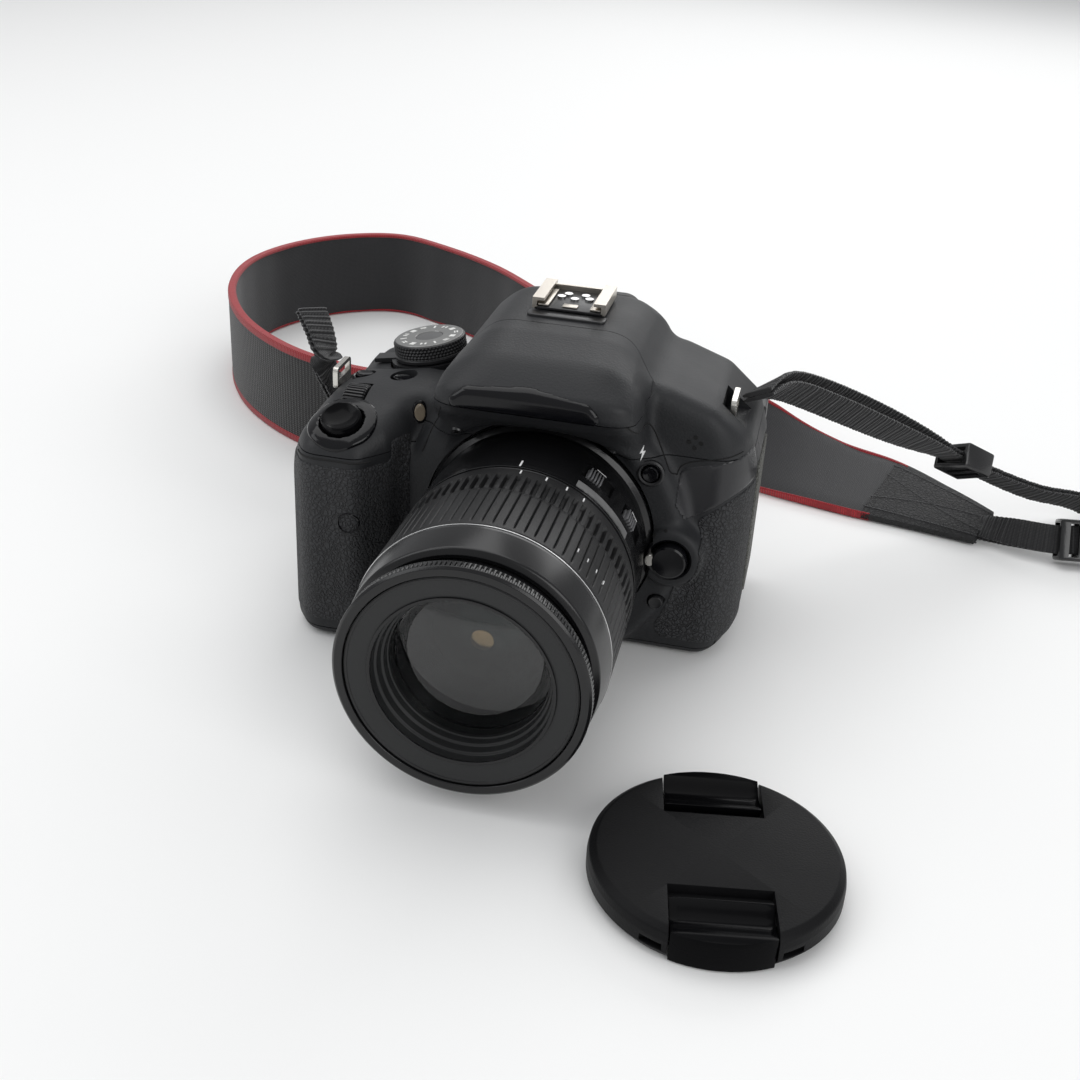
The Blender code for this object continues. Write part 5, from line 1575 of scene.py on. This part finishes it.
def band(name, rows, low, high, thin, thick, across_steps=8, relief=None, edge=0.35):
    """A strip along strap rows.

    low and high give its two edges, each a number of half widths and a number of millimetres.
    thin and thick are where its two faces lie through the strap. relief(run, across) is a
    height added to both faces.
    """
    shares = np.linspace(0, 1, across_steps + 1)
    points = []
    coordinates = []
    for centre, across, through, width, run in rows:
        start = low[0] * width / 2 + low[1]
        stop = high[0] * width / 2 + high[1]
        if stop - start < 0.4:
            middle = (start + stop) / 2
            start, stop = middle - 0.2, middle + 0.2
        ring = []
        for face, order in ((1, shares), (0, shares[::-1])):
            for share in order:
                v = start + (stop - start) * share
                near = min(share, 1 - share) * (stop - start)
                drop = edge * max(0.0, 1 - near / max(edge, 1e-6)) ** 2
                extra = 0.0 if relief is None else float(relief(run, v))
                h = (thick - drop + extra) if face else (thin + drop - extra)
                ring.append(centre + across * v + through * h)
                coordinates.append((run * MM, v * MM))
        points.extend(ring)
    per = 2 * (across_steps + 1)
    faces = []
    for i in range(len(rows) - 1):
        for k in range(per):
            after = (k + 1) % per
            faces.append((i * per + k, i * per + after, (i + 1) * per + after, (i + 1) * per + k))
    faces.append(tuple(range(per))[::-1])
    faces.append(tuple((len(rows) - 1) * per + k for k in range(per)))
    obj = mesh_object(name, [tuple(point) for point in points], faces)
    layer = obj.data.uv_layers.new(name="UVMap")
    for loop in obj.data.loops:
        layer.data[loop.index].uv = coordinates[loop.vertex_index]
    mesh = bmesh.new()
    mesh.from_mesh(obj.data)
    bmesh.ops.recalc_face_normals(mesh, faces=mesh.faces)
    mesh.to_mesh(obj.data)
    mesh.free()
    return obj


def pad_creases(run, across):
    """Soft upright folds that cross the lining."""
    wave = math.sin(run / 9.0) + 0.7 * math.sin(run / 5.3 + 1.3) + 0.5 * math.sin(run / 3.1)
    return 0.16 * wave


def web_ribs(run, across):
    """Woven ribs across a webbing strap."""
    return 0.2 * math.sin(2 * math.pi * run / 1.7) + 0.05 * math.sin(across * 5.2 + run)


def make_strap():
    coarse = 1.2
    rows = strap_rows(PAD_ROUTE, PAD_THICK, coarse)
    length = rows[-1][4]
    full = [row for row in rows if row[3] > 37.4]
    first, last = full[0][4], full[-1][4]
    middle = [row for row in rows if first - 14 <= row[4] <= last + 14]
    outer = band("strap_pad_weave", middle, (-1, 0.5), (1, -0.5), -0.2, 1.7, 14)
    lining = band("strap_pad_lining", middle, (-1, 0.6), (1, -0.6), -1.5, -0.1, 12, pad_creases)
    trims = []
    for sign in (-1, 1):
        if sign > 0:
            low, high = (1, -3.0), (1, 0)
        else:
            low, high = (-1, 0), (-1, 3.0)
        trims.append(band(f"strap_red_edge_{'top' if sign > 0 else 'foot'}", middle, low, high,
                          0.9, 1.85, 4, edge=0.3))
        low, high = ((1, -1.5), (1, 0)) if sign > 0 else ((-1, 0), (-1, 1.0))
        trims.append(band(f"strap_piping_{'top' if sign > 0 else 'foot'}", middle, low, high,
                          -1.55, 1.75, 4, edge=0.5))
    dress(outer, "root", "strap_fabric", "strap_weave", "strap_pad")
    dress(lining, "root", "strap_fabric", "strap_lining")
    for i, trim in enumerate(trims):
        dress(trim, "root", "webbing", "red_edge")
    ends = []
    for name, part in (("strap_leather_right", [r for r in rows if r[4] <= first - 9]),
                       ("strap_leather_left", [r for r in rows if r[4] >= last + 9])):
        if len(part) < 3:
            continue
        tab = band(name, part, (-1, 0), (1, 0), -1.8, 1.8, 8, edge=0.6)
        dress(tab, "root", "strap_fabric", "strap_leather")
        ends.append((tab, part))
        stitches = []
        low_run, high_run = part[0][4], part[-1][4]
        for row in part:
            share = (row[4] - low_run) / (high_run - low_run)
            for level in (-0.42 + 0.84 * share, 0.42 - 0.84 * share, -0.78, 0.78):
                where = row[0] + row[1] * (level * row[3] / 2)
                for side in (-1, 1):
                    spot = where + row[2] * (1.8 * side)
                    stitches.append(stitch(spot, row[1], row[2]))
        dress(merge(name + "_stitches", stitches), "root", "webbing", "thread_black")
    for tab, part in ends:
        run = part[-1][4] - part[0][4]
    fine = 0.4

    def right_twist(run):
        return -34 * math.sin(math.pi * min(1.0, run / 112)) ** 0.8

    def right_spread(run):
        return 2.3 * math.sin(math.pi * min(1.0, max(0.0, (run - 4) / 104)))

    def left_twist(run):
        return 52 * max(0.0, 1 - run / 26) ** 0.7

    for name, route, node in (("strap_webbing_right_woven", RIGHT_ROUTE, "strap_webbing_right"),
                              ("strap_webbing_left_woven", LEFT_ROUTE, "strap_webbing_left")):
        right = route is RIGHT_ROUTE
        rows = strap_rows(route, WEB_THICK, fine, right_twist if right else left_twist)
        lifted, lowered = [], []
        for centre, across, through, width, run in rows:
            gap = through * (right_spread(run) if right else 0)
            lifted.append((centre + gap, across, through, width, run))
            lowered.append((centre - gap, across, through, width, run))
        layers = [band(name, lifted, (-1, 0), (1, 0), 0.25, 1.3, 8, web_ribs, 0.3),
                  band(name + "_under", lowered, (-1, 0.15), (1, -0.15), -1.3, -0.2, 8, web_ribs,
                       0.3)]
        run = rows[-1][4]
        dress(layers[0], "root", "webbing", "webbing_black", node)
        dress(layers[1], "root", "webbing", "webbing_black")
    make_strap_fittings()


def strap_frame(controls, start, stop):
    """The frame at the middle of a stretch of strap: X runs along it and Y across it."""
    a, b = Vector(controls[start][:3]), Vector(controls[stop][:3])
    ahead = (b - a).normalized()
    side = ahead.cross(Vector((0, 0, 1))).normalized()
    upright = side.cross(ahead).normalized()
    lean = math.radians((controls[start][3] + controls[stop][3]) / 2)
    across = (upright * math.cos(lean) + side * math.sin(lean)).normalized()
    turn = Matrix((ahead, across, ahead.cross(across).normalized())).transposed().to_4x4()
    return Matrix.Translation(at(*((a + b) / 2))) @ turn


def make_strap_fittings():
    """The plastic slider and the buckle, each a rounded frame with a slot through it and bars
    across.
    """
    for name, spot, long, wide, thick, slot_wide, slot_thick in (
            ("strap_slider", strap_frame(RIGHT_ROUTE, 6, 7), 13, 15, 8.6, 11.6, 5.4),
            ("strap_buckle", strap_frame(RIGHT_ROUTE, 13, 14), 15, 14.5, 7.6, 11.6, 5.0)):
        x, y, z = long / 2, wide / 2, thick / 2
        body = block(spot, (-x, -y, -z), (x, y, z), edge=0.9)
        cuts = [block(spot, (-x - 5, -slot_wide / 2, -slot_thick / 2),
                      (x + 5, slot_wide / 2, slot_thick / 2)),
                block(spot, (-x + 3.4, -slot_wide / 2, -z - 1), (-0.9, slot_wide / 2, z + 1)),
                block(spot, (0.9, -slot_wide / 2, -z - 1), (x - 3.4, slot_wide / 2, z + 1))]
        boolean(body, cuts)
        body = rounded_edges(body, 0.3, 2, 50)
        body.name = name + "_frame"
        dress(body, "root", "gloss_plastic", "buckle_black", name)


def stitch(spot, along, out):
    side = along.cross(out).normalized()
    turn = Matrix((side, along, out)).transposed().to_4x4()
    return block(Matrix.Translation(at(*spot)) @ turn, (-0.45, -0.2, -0.15), (0.45, 0.2, 0.18))


# ---------------------------------------------------------------- everything


def main():
    make_materials()
    make_camera()
    make_studio()
    grid, values = body_field()
    form = grid.mesh(values, "body_form")
    make_shells(form)
    make_rubber(grid, values)
    surface = Surface(form)
    make_front_details(surface)
    make_controls()
    make_dials()
    make_hot_shoe()
    make_back()
    discard(form)
    make_lens()
    make_cap()
    make_strap()


main()
